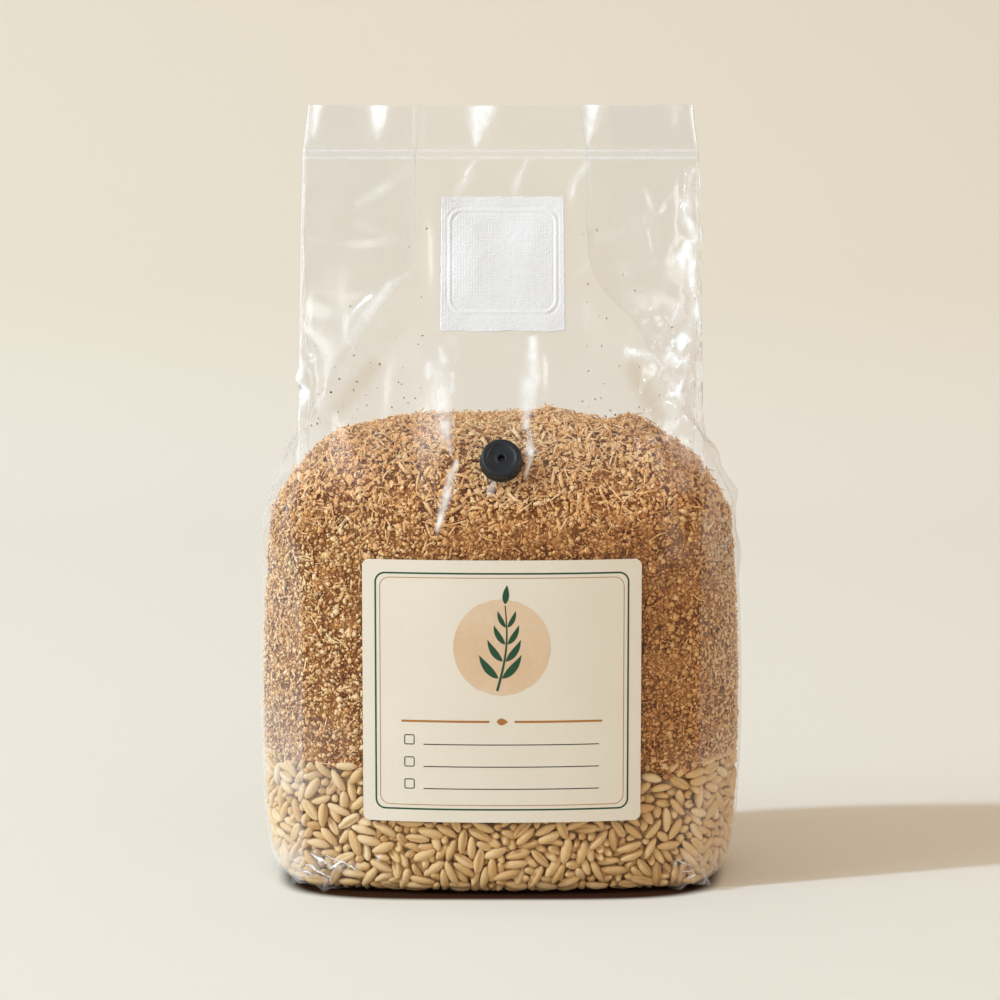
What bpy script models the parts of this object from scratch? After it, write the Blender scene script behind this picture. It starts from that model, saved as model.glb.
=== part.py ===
"""A sealed, clear gusseted grow bag standing on a flat base.

The film is one sheet, folded in at both sides under the top seal and swollen out over its filling.
Hydrated grain lies in the bottom of the bag and sawdust is packed on top of it.
A breathable filter patch is welded on the front above the filling, with a window in the film behind it.
A rubber injection port and a paper label are stuck on the front.

Sizes below are in millimetres. Front is -Y, up is +Z, and the origin is the middle of the base.
"""

from bisect import bisect_right
from math import atan2, cos, pi, sin

import bmesh
import bpy
from mathutils import Matrix, Vector

MM = 0.001

# Film
BAG_HEIGHT = 252.0
FILM = 0.3
TOUCH = 0.3  # gap kept between two solids that touch

# Each table holds (height, value) stations, and the film runs smoothly through them.
# Half the distance between the left and right corner creases.
CORNER_X = [
    (0, 60), (2, 62.4), (8, 63.4), (100, 63.6), (150, 64.2), (205, 64), (236, 63.4), (BAG_HEIGHT, 61.8),
]
# Distance from the middle plane to the middle of the front or back panel.
PANEL_Y = [
    (0, 34.5), (2, 38), (8, 40), (30, 40.6), (95, 40.7), (110, 40.2), (120, 39), (130, 36), (140, 30.6),
    (150, 25.6), (170, 19), (192, 12.8), (212, 7.2), (227, 3), (234, 1.1), (BAG_HEIGHT, 1.4),
]
# How far the panel swells out past its two corner creases.
PANEL_SWELL = [
    (0, 7), (8, 8.8), (40, 9), (100, 9), (120, 8), (135, 5.8), (150, 3.5), (170, 2), (200, 1), (230, 0),
]
# How far the middle of a side panel stands out past the creases, or is folded in between them.
SIDE_SWELL = [
    (0, 9.5), (2, 11), (8, 13), (24, 15), (56, 15.9), (74, 15.7), (103, 14.2), (116, 13.1), (123, 11.9),
    (130, 9.6), (139, 6), (147, 0), (154, -6), (167, -13), (182, -21), (196, -33), (207, -36),
    (BAG_HEIGHT, -36),
]
# Radius of the fold along each corner crease, a hairpin but for the last few millimetres above the base.
HAIRPIN = 0.35
CREASE_FOLD = [(0, 2.4), (1.2, 2), (3.5, 0.9), (8, HAIRPIN), (16, HAIRPIN)]
FILM_ROWS = [
    0, 1.2, 3.5, 8, 16, 32, 41, 56, 76, 96, 110, 120, 129, 137, 145, 153, 163, 173, 183, 193, 203, 214,
    225, 232.5, 238.5, 245, BAG_HEIGHT,
]
PANEL_STEPS = 10
SIDE_STEPS = 4
BACK_EXTRA = 0.06  # share by which the back swells more, so that the label keeps the box centred

# Tucked corners of the base, which stick out as small flat ears
EAR, EAR_TOP = 3.2, 9.0
EAR_BACKWARD = 0.6  # an ear points this much forwards or backwards for each unit that it points sideways
EAR_ROOT = 0.35  # share of the ear that the side panel follows beside it

# Heat seal across the flat top
SEAL_LOW, SEAL_HIGH = 234.6, 237.8
SEAL_WIDTH, SEAL_DEPTH = 128.6, 3.0

# Filling
FILL_GAP = 0.75
BASE_GAP, BASE_GAP_TOP = 1.7, 9.0  # more gap low down, where the film turns under the base
GRAIN_BASE, GRAIN_TOP = 0.9, 41.3
GRAIN_ROWS = [GRAIN_BASE, 2, 4.2, 8, 16, 32]
LAYER_GAP = 0.6
LAYER_SHARES = [1, 0.85, 0.7, 0.5, 0.25]
SAWDUST_ROWS = [56, 76, 96, 108, 118]
MOUND_RISE = 33.5
MOUND_SHARES = [0.97, 0.91, 0.83, 0.73, 0.6, 0.42, 0.2]
# How late the dome's top falls away towards its sides and towards its front and back
MOUND_SIDE_POWER, MOUND_FRONT_POWER = 4.6, 3.3
FILL_STEPS = 40  # points round a ring of the filling

# Filter patch
PATCH_WIDTH, PATCH_HEIGHT, PATCH_RADIUS, PATCH_THICK = 39.5, 42.6, 0.4, 0.4
PATCH_X, PATCH_Z = 0.6, 201.4
PAD_WIDTH, PAD_HEIGHT, PAD_RADIUS, PAD_THICK = 33.4, 31.4, 4.0, 0.9
PAD_Z = 201.9
PATCH_OFF, PAD_OFF = 0.5, 0.6  # from the film's middle to the back of the sheet and of its pad
WINDOW, WINDOW_RADIUS, WINDOW_BACK = 20.0, 2.0, -3.5

# Injection port
PORT_RADIUS, PORT_THICK = 6.5, 4.2
PORT_BORE, PORT_BORE_DEPTH, PORT_BORE_CHAMFER = 1.15, 2.4, 0.35
PORT_DISH, PORT_DISH_INNER, PORT_DISH_OUTER = 0.35, 0.62, 0.72
PORT_EDGE, PORT_EDGE_STEPS, PORT_BACK_EDGE = 0.5, 3, 0.3
PORT_X, PORT_Z = 0.1, 139.2
PORT_OFF = 0.75  # from the film's middle to the port's back
PORT_STEPS = 36

# Label
LABEL_WIDTH, LABEL_HEIGHT, LABEL_RADIUS, LABEL_THICK = 88.8, 84.6, 2.2, 0.25
LABEL_X, LABEL_Z = 0.3, 67.1
LABEL_OFF = 0.45  # from the film's middle to the label's back

OVERHANG = 1.04  # a sheet is made this much larger than the outline that trims it
CUTTER_FRONT, CUTTER_BACK = -70.0, -0.5
CORNER_STEPS = 5
SHARP_ANGLE = 0.6


def at_height(stations, z):
    """The value at height z on a smooth curve through the stations that never overshoots them."""
    heights = [h for h, _ in stations]
    values = [v for _, v in stations]
    if z <= heights[0]:
        return values[0]
    if z >= heights[-1]:
        return values[-1]
    slopes = [(b[1] - a[1]) / (b[0] - a[0]) for a, b in zip(stations, stations[1:])]

    def tangent(i):
        if i in (0, len(stations) - 1) or slopes[i - 1] * slopes[i] <= 0:
            return 0.0
        return 2 * slopes[i - 1] * slopes[i] / (slopes[i - 1] + slopes[i])

    i = bisect_right(heights, z) - 1
    step = heights[i + 1] - heights[i]
    t = (z - heights[i]) / step
    return (
        values[i] * (1 + 2 * t) * (1 - t) ** 2
        + values[i + 1] * t * t * (3 - 2 * t)
        + step * (tangent(i) * t * (1 - t) ** 2 - tangent(i + 1) * t * t * (1 - t))
    )


def panel_depth(x, z):
    """Distance from the middle plane to the front panel's film at x and z."""
    across = x / at_height(CORNER_X, z)
    return at_height(PANEL_Y, z) - at_height(PANEL_SWELL, z) * across * across


def ear(z):
    """How far the tucked base corners stick out at height z."""
    return EAR * sin(pi * min(1.0, z / EAR_TOP))


def right_side(z):
    """The right side panel from the front crease to the back crease, as (x, y) points."""
    corner = at_height(CORNER_X, z)
    depth = panel_depth(corner, z)
    swell = at_height(SIDE_SWELL, z)
    fold = at_height(CREASE_FOLD, z)
    out = ear(z)
    tuck = out * EAR_ROOT + fold - HAIRPIN
    half = [(corner + fold + out, -(depth - fold) - out * EAR_BACKWARD)]
    for i in range(SIDE_STEPS + 1):
        s = i / SIDE_STEPS
        bow = 1 - (1 - s) ** 2 if swell > 0 else s
        y = (depth - 2 * fold) * (1 - s) + HAIRPIN * s
        half.append((corner + swell * bow + tuck * (1 - s) ** 2, -y))
    tip = (corner + swell - (HAIRPIN if swell <= 0 else 0), 0.0)
    return half + [tip] + [(x, -y) for x, y in reversed(half)]


def film_ring(z):
    """The film's closed section at height z, anticlockwise from the front left crease."""
    corner = at_height(CORNER_X, z)
    extra = BACK_EXTRA * at_height(PANEL_SWELL, z)
    shares = [2 * i / PANEL_STEPS - 1 for i in range(PANEL_STEPS + 1)]
    front = [(corner * t, -panel_depth(corner * t, z)) for t in shares]
    back = [(-x, -y + extra * (1 - t * t)) for (x, y), t in zip(front, shares)]
    side = right_side(z)
    ring = front + side + back + [(-x, -y) for x, y in side]
    return [Vector((x, y, max(z, FILM / 2))) for x, y in ring]


def fill_ring(z, share=1.0):
    """The filling's closed section at height z, kept clear of the film and shrunk to a share of itself."""
    corner = at_height(CORNER_X, z)
    depth = panel_depth(corner, z)
    swell = at_height(SIDE_SWELL, z)
    panel = at_height(PANEL_Y, z)
    gap = FILL_GAP + BASE_GAP * max(0.0, 1 - z / BASE_GAP_TOP)
    ring = []
    for i in range(FILL_STEPS):
        angle = 2 * pi * (i + 0.5) / FILL_STEPS
        x, y = cos(angle), sin(angle)
        # A ray from the middle meets either the front or back panel or one of the sides.
        across = min(1.0, abs(x * depth / (y * corner)) if y else 1.0)
        if across < 1.0:
            px, py = across * corner, panel - (panel - depth) * across * across
        else:
            t = abs(y * corner / (x * depth))
            px, py = corner + swell * (1 - t * t), depth * t
        px = px * (1 - gap / (corner + swell)) * share
        py = py * (1 - gap / panel) * share
        ring.append(Vector((px if x > 0 else -px, py if y > 0 else -py, z)))
    return ring


def layer_line(x, y):
    """Height of the uneven line where the sawdust lies on the grain."""
    return GRAIN_TOP + 1.1 * sin(x / 15 + 0.6) + 0.8 * sin(y / 9 + x / 31)


def layer_rings(offset):
    """Rings of the face between the two layers, from the film inwards, at an offset from its middle."""
    rim = fill_ring(GRAIN_TOP)
    rings = [[Vector((p.x * share, p.y * share, 0)) for p in rim] for share in LAYER_SHARES]
    rings.append([Vector((0, 0, 0))])
    for ring in rings:
        for p in ring:
            p.z = layer_line(p.x, p.y) + offset
    return rings


def mound(share, x, y):
    """Height of the sawdust's domed top, for a point at this share of the way out from the middle."""
    sideways = abs(x) / (abs(x) + 2 * abs(y)) if x or y else 0.0
    power = MOUND_FRONT_POWER + (MOUND_SIDE_POWER - MOUND_FRONT_POWER) * sideways
    lumps = 0.7 * sin(x / 9 + 1.3) * sin(y / 8) + 0.5 * sin(x / 5.5 - y / 7)
    return SAWDUST_ROWS[-1] + MOUND_RISE * (1 - share**power) + lumps * (1 - share**3)


def add_object(name, mesh, collection, material=None):
    made = bpy.data.objects.new(name, mesh)
    collection.objects.link(made)
    if material:
        mesh.materials.append(material)
        mesh.shade_smooth()
        mesh.set_sharp_from_angle(angle=SHARP_ANGLE)
    return made


def add_helper(name, mesh):
    """A cutter or a piece joined into another: drawn as wire and left out of the render."""
    made = add_object(name, mesh, cutters)
    made.hide_render = True
    made.display_type = "WIRE"
    return made


def add_material(name, colour, roughness, alpha=1.0):
    material = bpy.data.materials.new(name)
    material.use_nodes = True
    shader = material.node_tree.nodes["Principled BSDF"]
    shader.inputs["Base Color"].default_value = (*colour, 1)
    shader.inputs["Roughness"].default_value = roughness
    shader.inputs["Metallic"].default_value = 0.0
    shader.inputs["Alpha"].default_value = alpha
    return material


def add_solidify(obj, thick, offset):
    modifier = obj.modifiers.new("Thickness", "SOLIDIFY")
    modifier.thickness = thick * MM
    modifier.offset = offset
    modifier.use_even_offset = True


def add_boolean(obj, operation, other):
    modifier = obj.modifiers.new(operation.title(), "BOOLEAN")
    modifier.operation = operation
    modifier.object = other


def to_mesh(bm, name):
    mesh = bpy.data.meshes.new(name)
    bm.to_mesh(mesh)
    bm.free()
    return mesh


def loft(name, rings, close_start=True, close_end=True):
    """A skin through rings that have the same number of points, or a single one where it ends in a point.
    A closed end is one flat face."""
    bm = bmesh.new()
    rows = [[bm.verts.new(p * MM) for p in ring] for ring in rings]
    for low, high in zip(rows, rows[1:]):
        count = max(len(low), len(high))
        for i in range(count):
            j = (i + 1) % count
            if len(low) == 1:
                bm.faces.new((low[0], high[j], high[i]))
            elif len(high) == 1:
                bm.faces.new((low[i], low[j], high[0]))
            else:
                bm.faces.new((low[i], low[j], high[j], high[i]))
    if close_start and len(rows[0]) > 1:
        bm.faces.new(reversed(rows[0]))
    if close_end and len(rows[-1]) > 1:
        bm.faces.new(rows[-1])
    return to_mesh(bm, name)


def block(name, size, centre, radius=0.0):
    """A box, with its four edges that run along Y rounded where a radius is given."""
    bm = bmesh.new()
    bmesh.ops.create_cube(bm, size=1)
    place = Matrix.Translation(Vector(centre) * MM) @ Matrix.Diagonal((*(Vector(size) * MM), 1))
    bmesh.ops.transform(bm, matrix=place, verts=bm.verts)
    if radius:
        along_y = [e for e in bm.edges if (e.verts[0].co.xz - e.verts[1].co.xz).length < MM]
        rounding = {"offset": radius * MM, "segments": CORNER_STEPS, "profile": 0.5}
        bmesh.ops.bevel(bm, geom=along_y, affect="EDGES", **rounding)
    return to_mesh(bm, name)


def cutter_block(name, width, height, radius, x, z, back=CUTTER_BACK):
    """A helper through the front of the bag, a rounded rectangle as seen from the front."""
    size = (width, back - CUTTER_FRONT, height)
    return add_helper(name, block(name, size, (x, (CUTTER_FRONT + back) / 2, z), radius))


def front_sheet(name, width, height, x, z, off, steps):
    """A grid that follows the film's front panel at a distance off it."""
    bm = bmesh.new()
    bmesh.ops.create_grid(bm, x_segments=steps, y_segments=steps, size=0.5)
    for vert in bm.verts:
        across = x + vert.co.x * width * OVERHANG
        up = z + vert.co.y * height * OVERHANG
        vert.co = Vector((across, -panel_depth(across, up) - off, up)) * MM
    return to_mesh(bm, name)


def trim_sheet(sheet, width, height, radius, thick, x, z):
    """Gives a sheet on the front its thickness and cuts it to its outline."""
    add_solidify(sheet, thick, 1)
    add_boolean(sheet, "INTERSECT", cutter_block(sheet.name + "_outline", width, height, radius, x, z))


def make_film():
    """The bag: one film with a flat base, side gussets, a fused seal and a window behind the filter."""
    clear = add_material("clear_film", (0.93, 0.93, 0.92), 0.12, alpha=0.25)
    rings = [film_ring(z) for z in FILM_ROWS]
    film = add_object("film_bag", loft("film_bag", rings, close_end=False), parts, clear)
    add_solidify(film, FILM, 0)
    window = cutter_block("filter_window", WINDOW, WINDOW, WINDOW_RADIUS, PATCH_X, PATCH_Z, WINDOW_BACK)
    add_boolean(film, "DIFFERENCE", window)
    size = (SEAL_WIDTH, SEAL_DEPTH, SEAL_HIGH - SEAL_LOW)
    seal = add_helper("heat_seal", block("heat_seal", size, (0, 0, (SEAL_LOW + SEAL_HIGH) / 2)))
    add_boolean(film, "UNION", seal)


def make_grain():
    """The layer of hydrated grain, with an uneven top."""
    rings = [fill_ring(z) for z in GRAIN_ROWS] + layer_rings(-LAYER_GAP / 2)
    pale = add_material("grain", (0.72, 0.58, 0.38), 0.6)
    add_object("grain_layer", loft("grain_layer", rings), parts, pale)


def make_sawdust():
    """The block of sawdust, from the grain up to its domed top."""
    rings = layer_rings(LAYER_GAP / 2)[::-1] + [fill_ring(z) for z in SAWDUST_ROWS]
    for share in MOUND_SHARES:
        rim = fill_ring(SAWDUST_ROWS[-1], share)
        rings.append([Vector((p.x, p.y, mound(share, p.x, p.y))) for p in rim])
    rings.append([Vector((0, 0, mound(0, 0, 0)))])
    brown = add_material("sawdust", (0.45, 0.27, 0.14), 0.9)
    add_object("sawdust_block", loft("sawdust_block", rings), parts, brown)


def make_patch():
    """The filter patch: a thin fibrous sheet with a raised pad inside its weld line."""
    white = add_material("filter_fibre", (0.9, 0.9, 0.89), 0.85)
    sheet = front_sheet("filter_patch", PATCH_WIDTH, PATCH_HEIGHT, PATCH_X, PATCH_Z, PATCH_OFF, steps=9)
    patch = add_object("filter_patch", sheet, parts, white)
    trim_sheet(patch, PATCH_WIDTH, PATCH_HEIGHT, PATCH_RADIUS, PATCH_THICK, PATCH_X, PATCH_Z)
    pad = add_helper("pad", front_sheet("pad", PAD_WIDTH, PAD_HEIGHT, PATCH_X, PAD_Z, PAD_OFF, steps=8))
    trim_sheet(pad, PAD_WIDTH, PAD_HEIGHT, PAD_RADIUS, PAD_THICK, PATCH_X, PAD_Z)
    add_boolean(patch, "UNION", pad)


def make_label():
    """The square paper label with rounded corners, wrapped on the front of the bag."""
    paper = add_material("label_paper", (0.82, 0.77, 0.66), 0.7)
    sheet = front_sheet("label", LABEL_WIDTH, LABEL_HEIGHT, LABEL_X, LABEL_Z, LABEL_OFF, steps=11)
    label = add_object("label", sheet, parts, paper)
    trim_sheet(label, LABEL_WIDTH, LABEL_HEIGHT, LABEL_RADIUS, LABEL_THICK, LABEL_X, LABEL_Z)


def port_profile():
    """Half of the port's section from the middle of its face to the middle of its back, as (x, z) points."""
    face = PORT_THICK - PORT_DISH
    floor = PORT_THICK - PORT_BORE_DEPTH
    profile = [
        (0, floor),
        (PORT_BORE, floor),
        (PORT_BORE, face - PORT_BORE_CHAMFER),
        (PORT_BORE + PORT_BORE_CHAMFER, face),
        (PORT_RADIUS * PORT_DISH_INNER, face),
        (PORT_RADIUS * PORT_DISH_OUTER, PORT_THICK),
    ]
    for i in range(PORT_EDGE_STEPS + 1):
        turn = pi / 2 * (1 - i / PORT_EDGE_STEPS)
        x = PORT_RADIUS - PORT_EDGE * (1 - cos(turn))
        profile.append((x, PORT_THICK - PORT_EDGE * (1 - sin(turn))))
    return profile + [(PORT_RADIUS, PORT_BACK_EDGE), (PORT_RADIUS - PORT_BACK_EDGE, 0), (0, 0)]


def make_port():
    """The rubber port: a turned disc with a rounded rim, a shallow dished face and a blind needle hole."""
    bm = bmesh.new()
    points = [bm.verts.new((x * MM, 0, z * MM)) for x, z in port_profile()]
    for a, b in zip(points, points[1:]):
        bm.edges.new((a, b))
    rubber = add_material("port_rubber", (0.02, 0.021, 0.024), 0.45)
    port = add_object("injection_port", to_mesh(bm, "injection_port"), parts, rubber)
    turned = port.modifiers.new("Turned", "SCREW")
    turned.steps = turned.render_steps = PORT_STEPS
    turned.use_merge_vertices = True
    turned.merge_threshold = 0.00001
    # The port's back lies on the film, which leans back where the bag narrows above its filling.
    below = panel_depth(PORT_X, PORT_Z - PORT_RADIUS)
    above = panel_depth(PORT_X, PORT_Z + PORT_RADIUS)
    lean = atan2(below - above, 2 * PORT_RADIUS)
    out = Vector((0, -cos(lean), sin(lean)))
    port.location = (Vector((PORT_X, -panel_depth(PORT_X, PORT_Z), PORT_Z)) + out * PORT_OFF) * MM
    port.rotation_euler = (pi / 2 - lean, 0, 0)


for old in list(bpy.data.objects):
    bpy.data.objects.remove(old)
parts = bpy.data.collections.new("grow_bag")
cutters = bpy.data.collections.new("cutters")
bpy.context.scene.collection.children.link(parts)
bpy.context.scene.collection.children.link(cutters)
make_film()
make_grain()
make_sawdust()
make_patch()
make_label()
make_port()
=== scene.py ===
# Looks of a clear gusseted grow bag: its film, grain, sawdust, filter patch, injection port and label.
# All settings are in millimetres. Front is -Y, up is +Z, and the origin is the middle of the base.
import math

import bpy
import numpy as np
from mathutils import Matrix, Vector


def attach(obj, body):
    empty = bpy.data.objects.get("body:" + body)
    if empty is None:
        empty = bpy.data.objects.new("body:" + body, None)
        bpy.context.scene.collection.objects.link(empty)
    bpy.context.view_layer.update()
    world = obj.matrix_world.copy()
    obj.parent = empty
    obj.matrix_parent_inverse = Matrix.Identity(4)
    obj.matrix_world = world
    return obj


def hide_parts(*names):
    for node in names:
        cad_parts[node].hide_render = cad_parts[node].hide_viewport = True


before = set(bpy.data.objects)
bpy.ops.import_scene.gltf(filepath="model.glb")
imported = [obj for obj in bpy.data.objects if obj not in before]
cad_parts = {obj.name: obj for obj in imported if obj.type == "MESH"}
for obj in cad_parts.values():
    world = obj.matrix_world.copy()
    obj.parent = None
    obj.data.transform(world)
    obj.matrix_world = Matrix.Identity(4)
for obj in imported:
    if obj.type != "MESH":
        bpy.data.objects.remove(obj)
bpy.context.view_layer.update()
print("frame loaded with", len(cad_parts), "nodes")

mm = 0.001
tau = 2 * math.pi

# The film's form, as (height, value) stations of a smooth curve
bagForm = {
    "height": 252.0,
    "corner": [(0, 60), (2, 62.4), (8, 63.4), (100, 63.6), (150, 64.2), (205, 64), (236, 63.4), (252, 61.8)],
    "panel": [
        (0, 34.5), (2, 38), (8, 40), (30, 40.6), (95, 40.7), (110, 40.2), (120, 39), (130, 36), (140, 30.6),
        (150, 25.6), (170, 19), (192, 12.8), (212, 7.2), (227, 3), (234, 1.1), (252, 1.4),
    ],
    "panelSwell": [
        (0, 7), (8, 8.8), (40, 9), (100, 9), (120, 8), (135, 5.8), (150, 3.5), (170, 2), (200, 1), (230, 0),
    ],
    "sideSwell": [
        (0, 9.5), (2, 11), (8, 13), (24, 15), (56, 15.9), (74, 15.7), (103, 14.2), (116, 13.1), (123, 11.9),
        (130, 9.6), (139, 6), (147, 0), (154, -6), (167, -13), (182, -21), (196, -33), (207, -36), (252, -36),
    ],
    "creaseFold": [(0, 2.4), (1.2, 2), (3.5, 0.9), (8, 0.7), (252, 0.6)],
    "hairpin": 0.35,
    "ear": 3.2, "earTop": 9.0, "earBackward": 0.6, "earRoot": 0.35,
    "backExtra": 0.06,
    "sealLow": 234.6, "sealHigh": 237.8,
}


# Numbers that every piece draws on

def tableAt(stations, z):
    # a curve through the stations that never overshoots them
    heights = np.array([s[0] for s in stations], float)
    values = np.array([s[1] for s in stations], float)
    slopes = np.diff(values) / np.diff(heights)
    same = slopes[:-1] * slopes[1:] > 0
    tangents = np.zeros(len(heights))
    total = np.where(same, slopes[:-1] + slopes[1:], 1.0)
    tangents[1:-1] = np.where(same, 2 * slopes[:-1] * slopes[1:] / total, 0.0)
    z = np.clip(z, heights[0], heights[-1])
    i = np.clip(np.searchsorted(heights, z, side="right") - 1, 0, len(heights) - 2)
    step = heights[i + 1] - heights[i]
    t = (z - heights[i]) / step
    return (
        values[i] * (1 + 2 * t) * (1 - t) ** 2
        + values[i + 1] * t * t * (3 - 2 * t)
        + step * (tangents[i] * t * (1 - t) ** 2 - tangents[i + 1] * t * t * (1 - t))
    )


def panelDepth(x, z):
    across = x / tableAt(bagForm["corner"], z)
    return tableAt(bagForm["panel"], z) - tableAt(bagForm["panelSwell"], z) * across * across


def smoothStep(low, high, value):
    t = np.clip((value - low) / (high - low), 0, 1)
    return t * t * (3 - 2 * t)


def hashed(i, j, seed):
    # a repeatable random number from 0 to 1 for each cell of a grid
    n = (i * 374761393 + j * 668265263 + seed * 974634777) & 0xffffffff
    n = ((n ^ (n >> 13)) * 1274126177) & 0xffffffff
    return ((n ^ (n >> 16)) & 0xffffff) / 0xffffff


def waves(u, v, size, seed):
    # smooth random hills from -1 to 1, each about one size across
    u, v = u / size, v / size
    i, j = np.floor(u).astype(np.int64), np.floor(v).astype(np.int64)
    fu, fv = u - i, v - j
    fu, fv = fu * fu * (3 - 2 * fu), fv * fv * (3 - 2 * fv)
    low = hashed(i, j, seed) * (1 - fu) + hashed(i + 1, j, seed) * fu
    high = hashed(i, j + 1, seed) * (1 - fu) + hashed(i + 1, j + 1, seed) * fu
    return (low * (1 - fv) + high * fv) * 2 - 1


def crumple(u, v, size, slope, seed, sharp=7.0):
    # a sheet crushed into flat facets of random tilt, each about one size across
    i, j = np.floor(u / size).astype(np.int64), np.floor(v / size).astype(np.int64)
    height, weights = np.zeros(np.shape(u)), np.zeros(np.shape(u))
    for di in (-1, 0, 1):
        for dj in (-1, 0, 1):
            cu = u - (i + di + hashed(i + di, j + dj, seed)) * size
            cv = v - (j + dj + hashed(i + di, j + dj, seed + 1)) * size
            weight = np.exp(-sharp * (cu * cu + cv * cv) / size ** 2)
            tiltU = hashed(i + di, j + dj, seed + 2) * 2 - 1
            tiltV = hashed(i + di, j + dj, seed + 3) * 2 - 1
            height += weight * (cu * tiltU + cv * tiltV) * slope
            weights += weight
    return height / weights


def foldHeight(x, z, fold):
    # one crease raised along a bowed line on a sheet, dying out at both ends
    x0, z0, x1, z1, height, width, bow = fold
    alongX, alongZ = x1 - x0, z1 - z0
    length = math.hypot(alongX, alongZ)
    t = ((x - x0) * alongX + (z - z0) * alongZ) / length ** 2
    aside = ((x - x0) * alongZ - (z - z0) * alongX) / length - bow * 4 * t * (1 - t)
    fade = np.sin(np.pi * np.clip(t, 0, 1)) ** 0.7
    return height * fade * np.exp(-(np.abs(aside) / width) ** 1.6)


def unit(vectors):
    return vectors / np.maximum(np.linalg.norm(vectors, axis=-1, keepdims=True), 1e-9)


# Meshes

def addObject(name, data):
    made = bpy.data.objects.new(name, data)
    bpy.context.scene.collection.objects.link(made)
    return made


def setTone(mesh, name, values):
    mesh.attributes.new(name, "FLOAT", "POINT").data.foreach_set("value", values.astype(np.float32))


def makePiece(name, points, faces, material, smooth=True, replaces=(), tones=None):
    # points in millimetres; faces is a list of index arrays with 3 or 4 corners a row
    faces = [np.asarray(f, np.int32) for f in faces if len(f)]
    corners = np.concatenate([f.ravel() for f in faces])
    sides = np.concatenate([np.full(len(f), f.shape[1], np.int32) for f in faces])
    starts = np.concatenate(([0], np.cumsum(sides)[:-1])).astype(np.int32)
    mesh = bpy.data.meshes.new(name)
    mesh.vertices.add(len(points))
    mesh.vertices.foreach_set("co", (np.asarray(points) * mm).astype(np.float32).ravel())
    mesh.loops.add(len(corners))
    mesh.loops.foreach_set("vertex_index", corners)
    mesh.polygons.add(len(sides))
    mesh.polygons.foreach_set("loop_start", starts)
    mesh.polygons.foreach_set("use_smooth", np.full(len(sides), smooth))
    mesh.update(calc_edges=True)
    if tones is not None:
        setTone(mesh, "tone", tones)
    mesh.materials.append(material)
    piece = addObject(name, mesh)
    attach(piece, "root")
    if replaces:
        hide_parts(*replaces)
    print(f"{name}: {int((sides - 2).sum())} triangles")
    return piece


def gridFaces(rows, columns, closed=True, start=0):
    i = np.arange(rows - 1)[:, None] * columns
    j = np.arange(columns if closed else columns - 1)[None, :]
    k = (j + 1) % columns
    quads = np.stack((i + j, i + k, i + columns + k, i + columns + j), axis=-1)
    return quads.reshape(-1, 4) + start


def fanFaces(ring, tip, flip=False):
    ring = np.asarray(ring)
    around = np.roll(ring, -1)
    order = (around, ring) if flip else (ring, around)
    return np.stack((*order, np.full(len(ring), tip)), axis=1)


def tubeFaces(rows, columns):
    # rings joined to a tube, with a fan at each end to the two points that follow them
    around, count = np.arange(columns), rows * columns
    return [
        gridFaces(rows, columns), fanFaces(around, count, flip=True),
        fanFaces(around + count - columns, count + 1),
    ]


def gridNormals(points):
    along = np.roll(points, -1, axis=1) - np.roll(points, 1, axis=1)
    up = np.gradient(points, axis=0)
    return unit(np.cross(along, up))


def repeatFaces(faces, copies, step):
    starts = (np.arange(copies) * step)[:, None, None]
    return [(np.asarray(f)[None] + starts).reshape(-1, np.shape(f)[1]) for f in faces]


def placeShapes(shapes, places, frames):
    # frames hold three axes for each copy
    return places[:, None, :] + np.einsum("nki,nij->nkj", shapes, frames)


def scatter(name, shape, chips, material, seed, jitter, smooth=False):
    # many copies of one small shape joined in one mesh
    template, faces = shape
    places, frames, sizes, tones = chips
    rng = np.random.default_rng(seed)
    shapes = np.broadcast_to(template, (len(places), *template.shape)).copy()
    shapes += rng.uniform(-jitter, jitter, shapes.shape)
    shapes *= sizes[:, None, :]
    points = placeShapes(shapes, places, frames).reshape(-1, 3)
    joined = repeatFaces(faces, len(places), len(template))
    tones = np.repeat(tones, len(template))
    makePiece(name, points, joined, material, smooth, tones=tones)


# Materials

def fillInputs(tree, node, inputs):
    # each input takes a plain value, a socket, or what an earlier node puts out first
    for key, value in inputs.items():
        if isinstance(value, bpy.types.Node):
            value = next(socket for socket in value.outputs if socket.enabled)
        if isinstance(value, bpy.types.NodeSocket):
            tree.links.new(value, node.inputs[key])
        else:
            node.inputs[key].default_value = value


def addNode(tree, kind, inputs, **settings):
    made = tree.nodes.new("ShaderNode" + kind)
    made.location.x = 180 * len(tree.nodes)
    for key, value in settings.items():
        setattr(made, key, value)
    fillInputs(tree, made, inputs)
    return made


def maths(tree, operation, *values, clamp=False):
    return addNode(tree, "Math", dict(enumerate(values)), operation=operation, use_clamp=clamp)


def mixColours(tree, share, first, second):
    return addNode(tree, "Mix", {"Factor": share, "A": (*first, 1), "B": (*second, 1)}, data_type="RGBA")


def addRamp(tree, share, stops):
    ramp = addNode(tree, "ValToRGB", {"Fac": share})
    band = ramp.color_ramp
    while len(band.elements) < len(stops):
        band.elements.new(0.5)
    for element, (position, colour) in zip(band.elements, stops):
        element.position = position
        element.color = (*colour, 1)
    return ramp


def addBump(tree, height, strength, distance):
    return addNode(tree, "Bump", {"Height": height, "Strength": strength, "Distance": distance})


def addSolid(tree, colour, roughness, specular, bump):
    return addNode(tree, "BsdfPrincipled", {
        "Base Color": colour, "Roughness": roughness, "Specular IOR Level": specular, "Normal": bump,
    })


def readPoint(tree, name):
    return addNode(tree, "Attribute", {}, attribute_name=name).outputs["Fac"]


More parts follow.
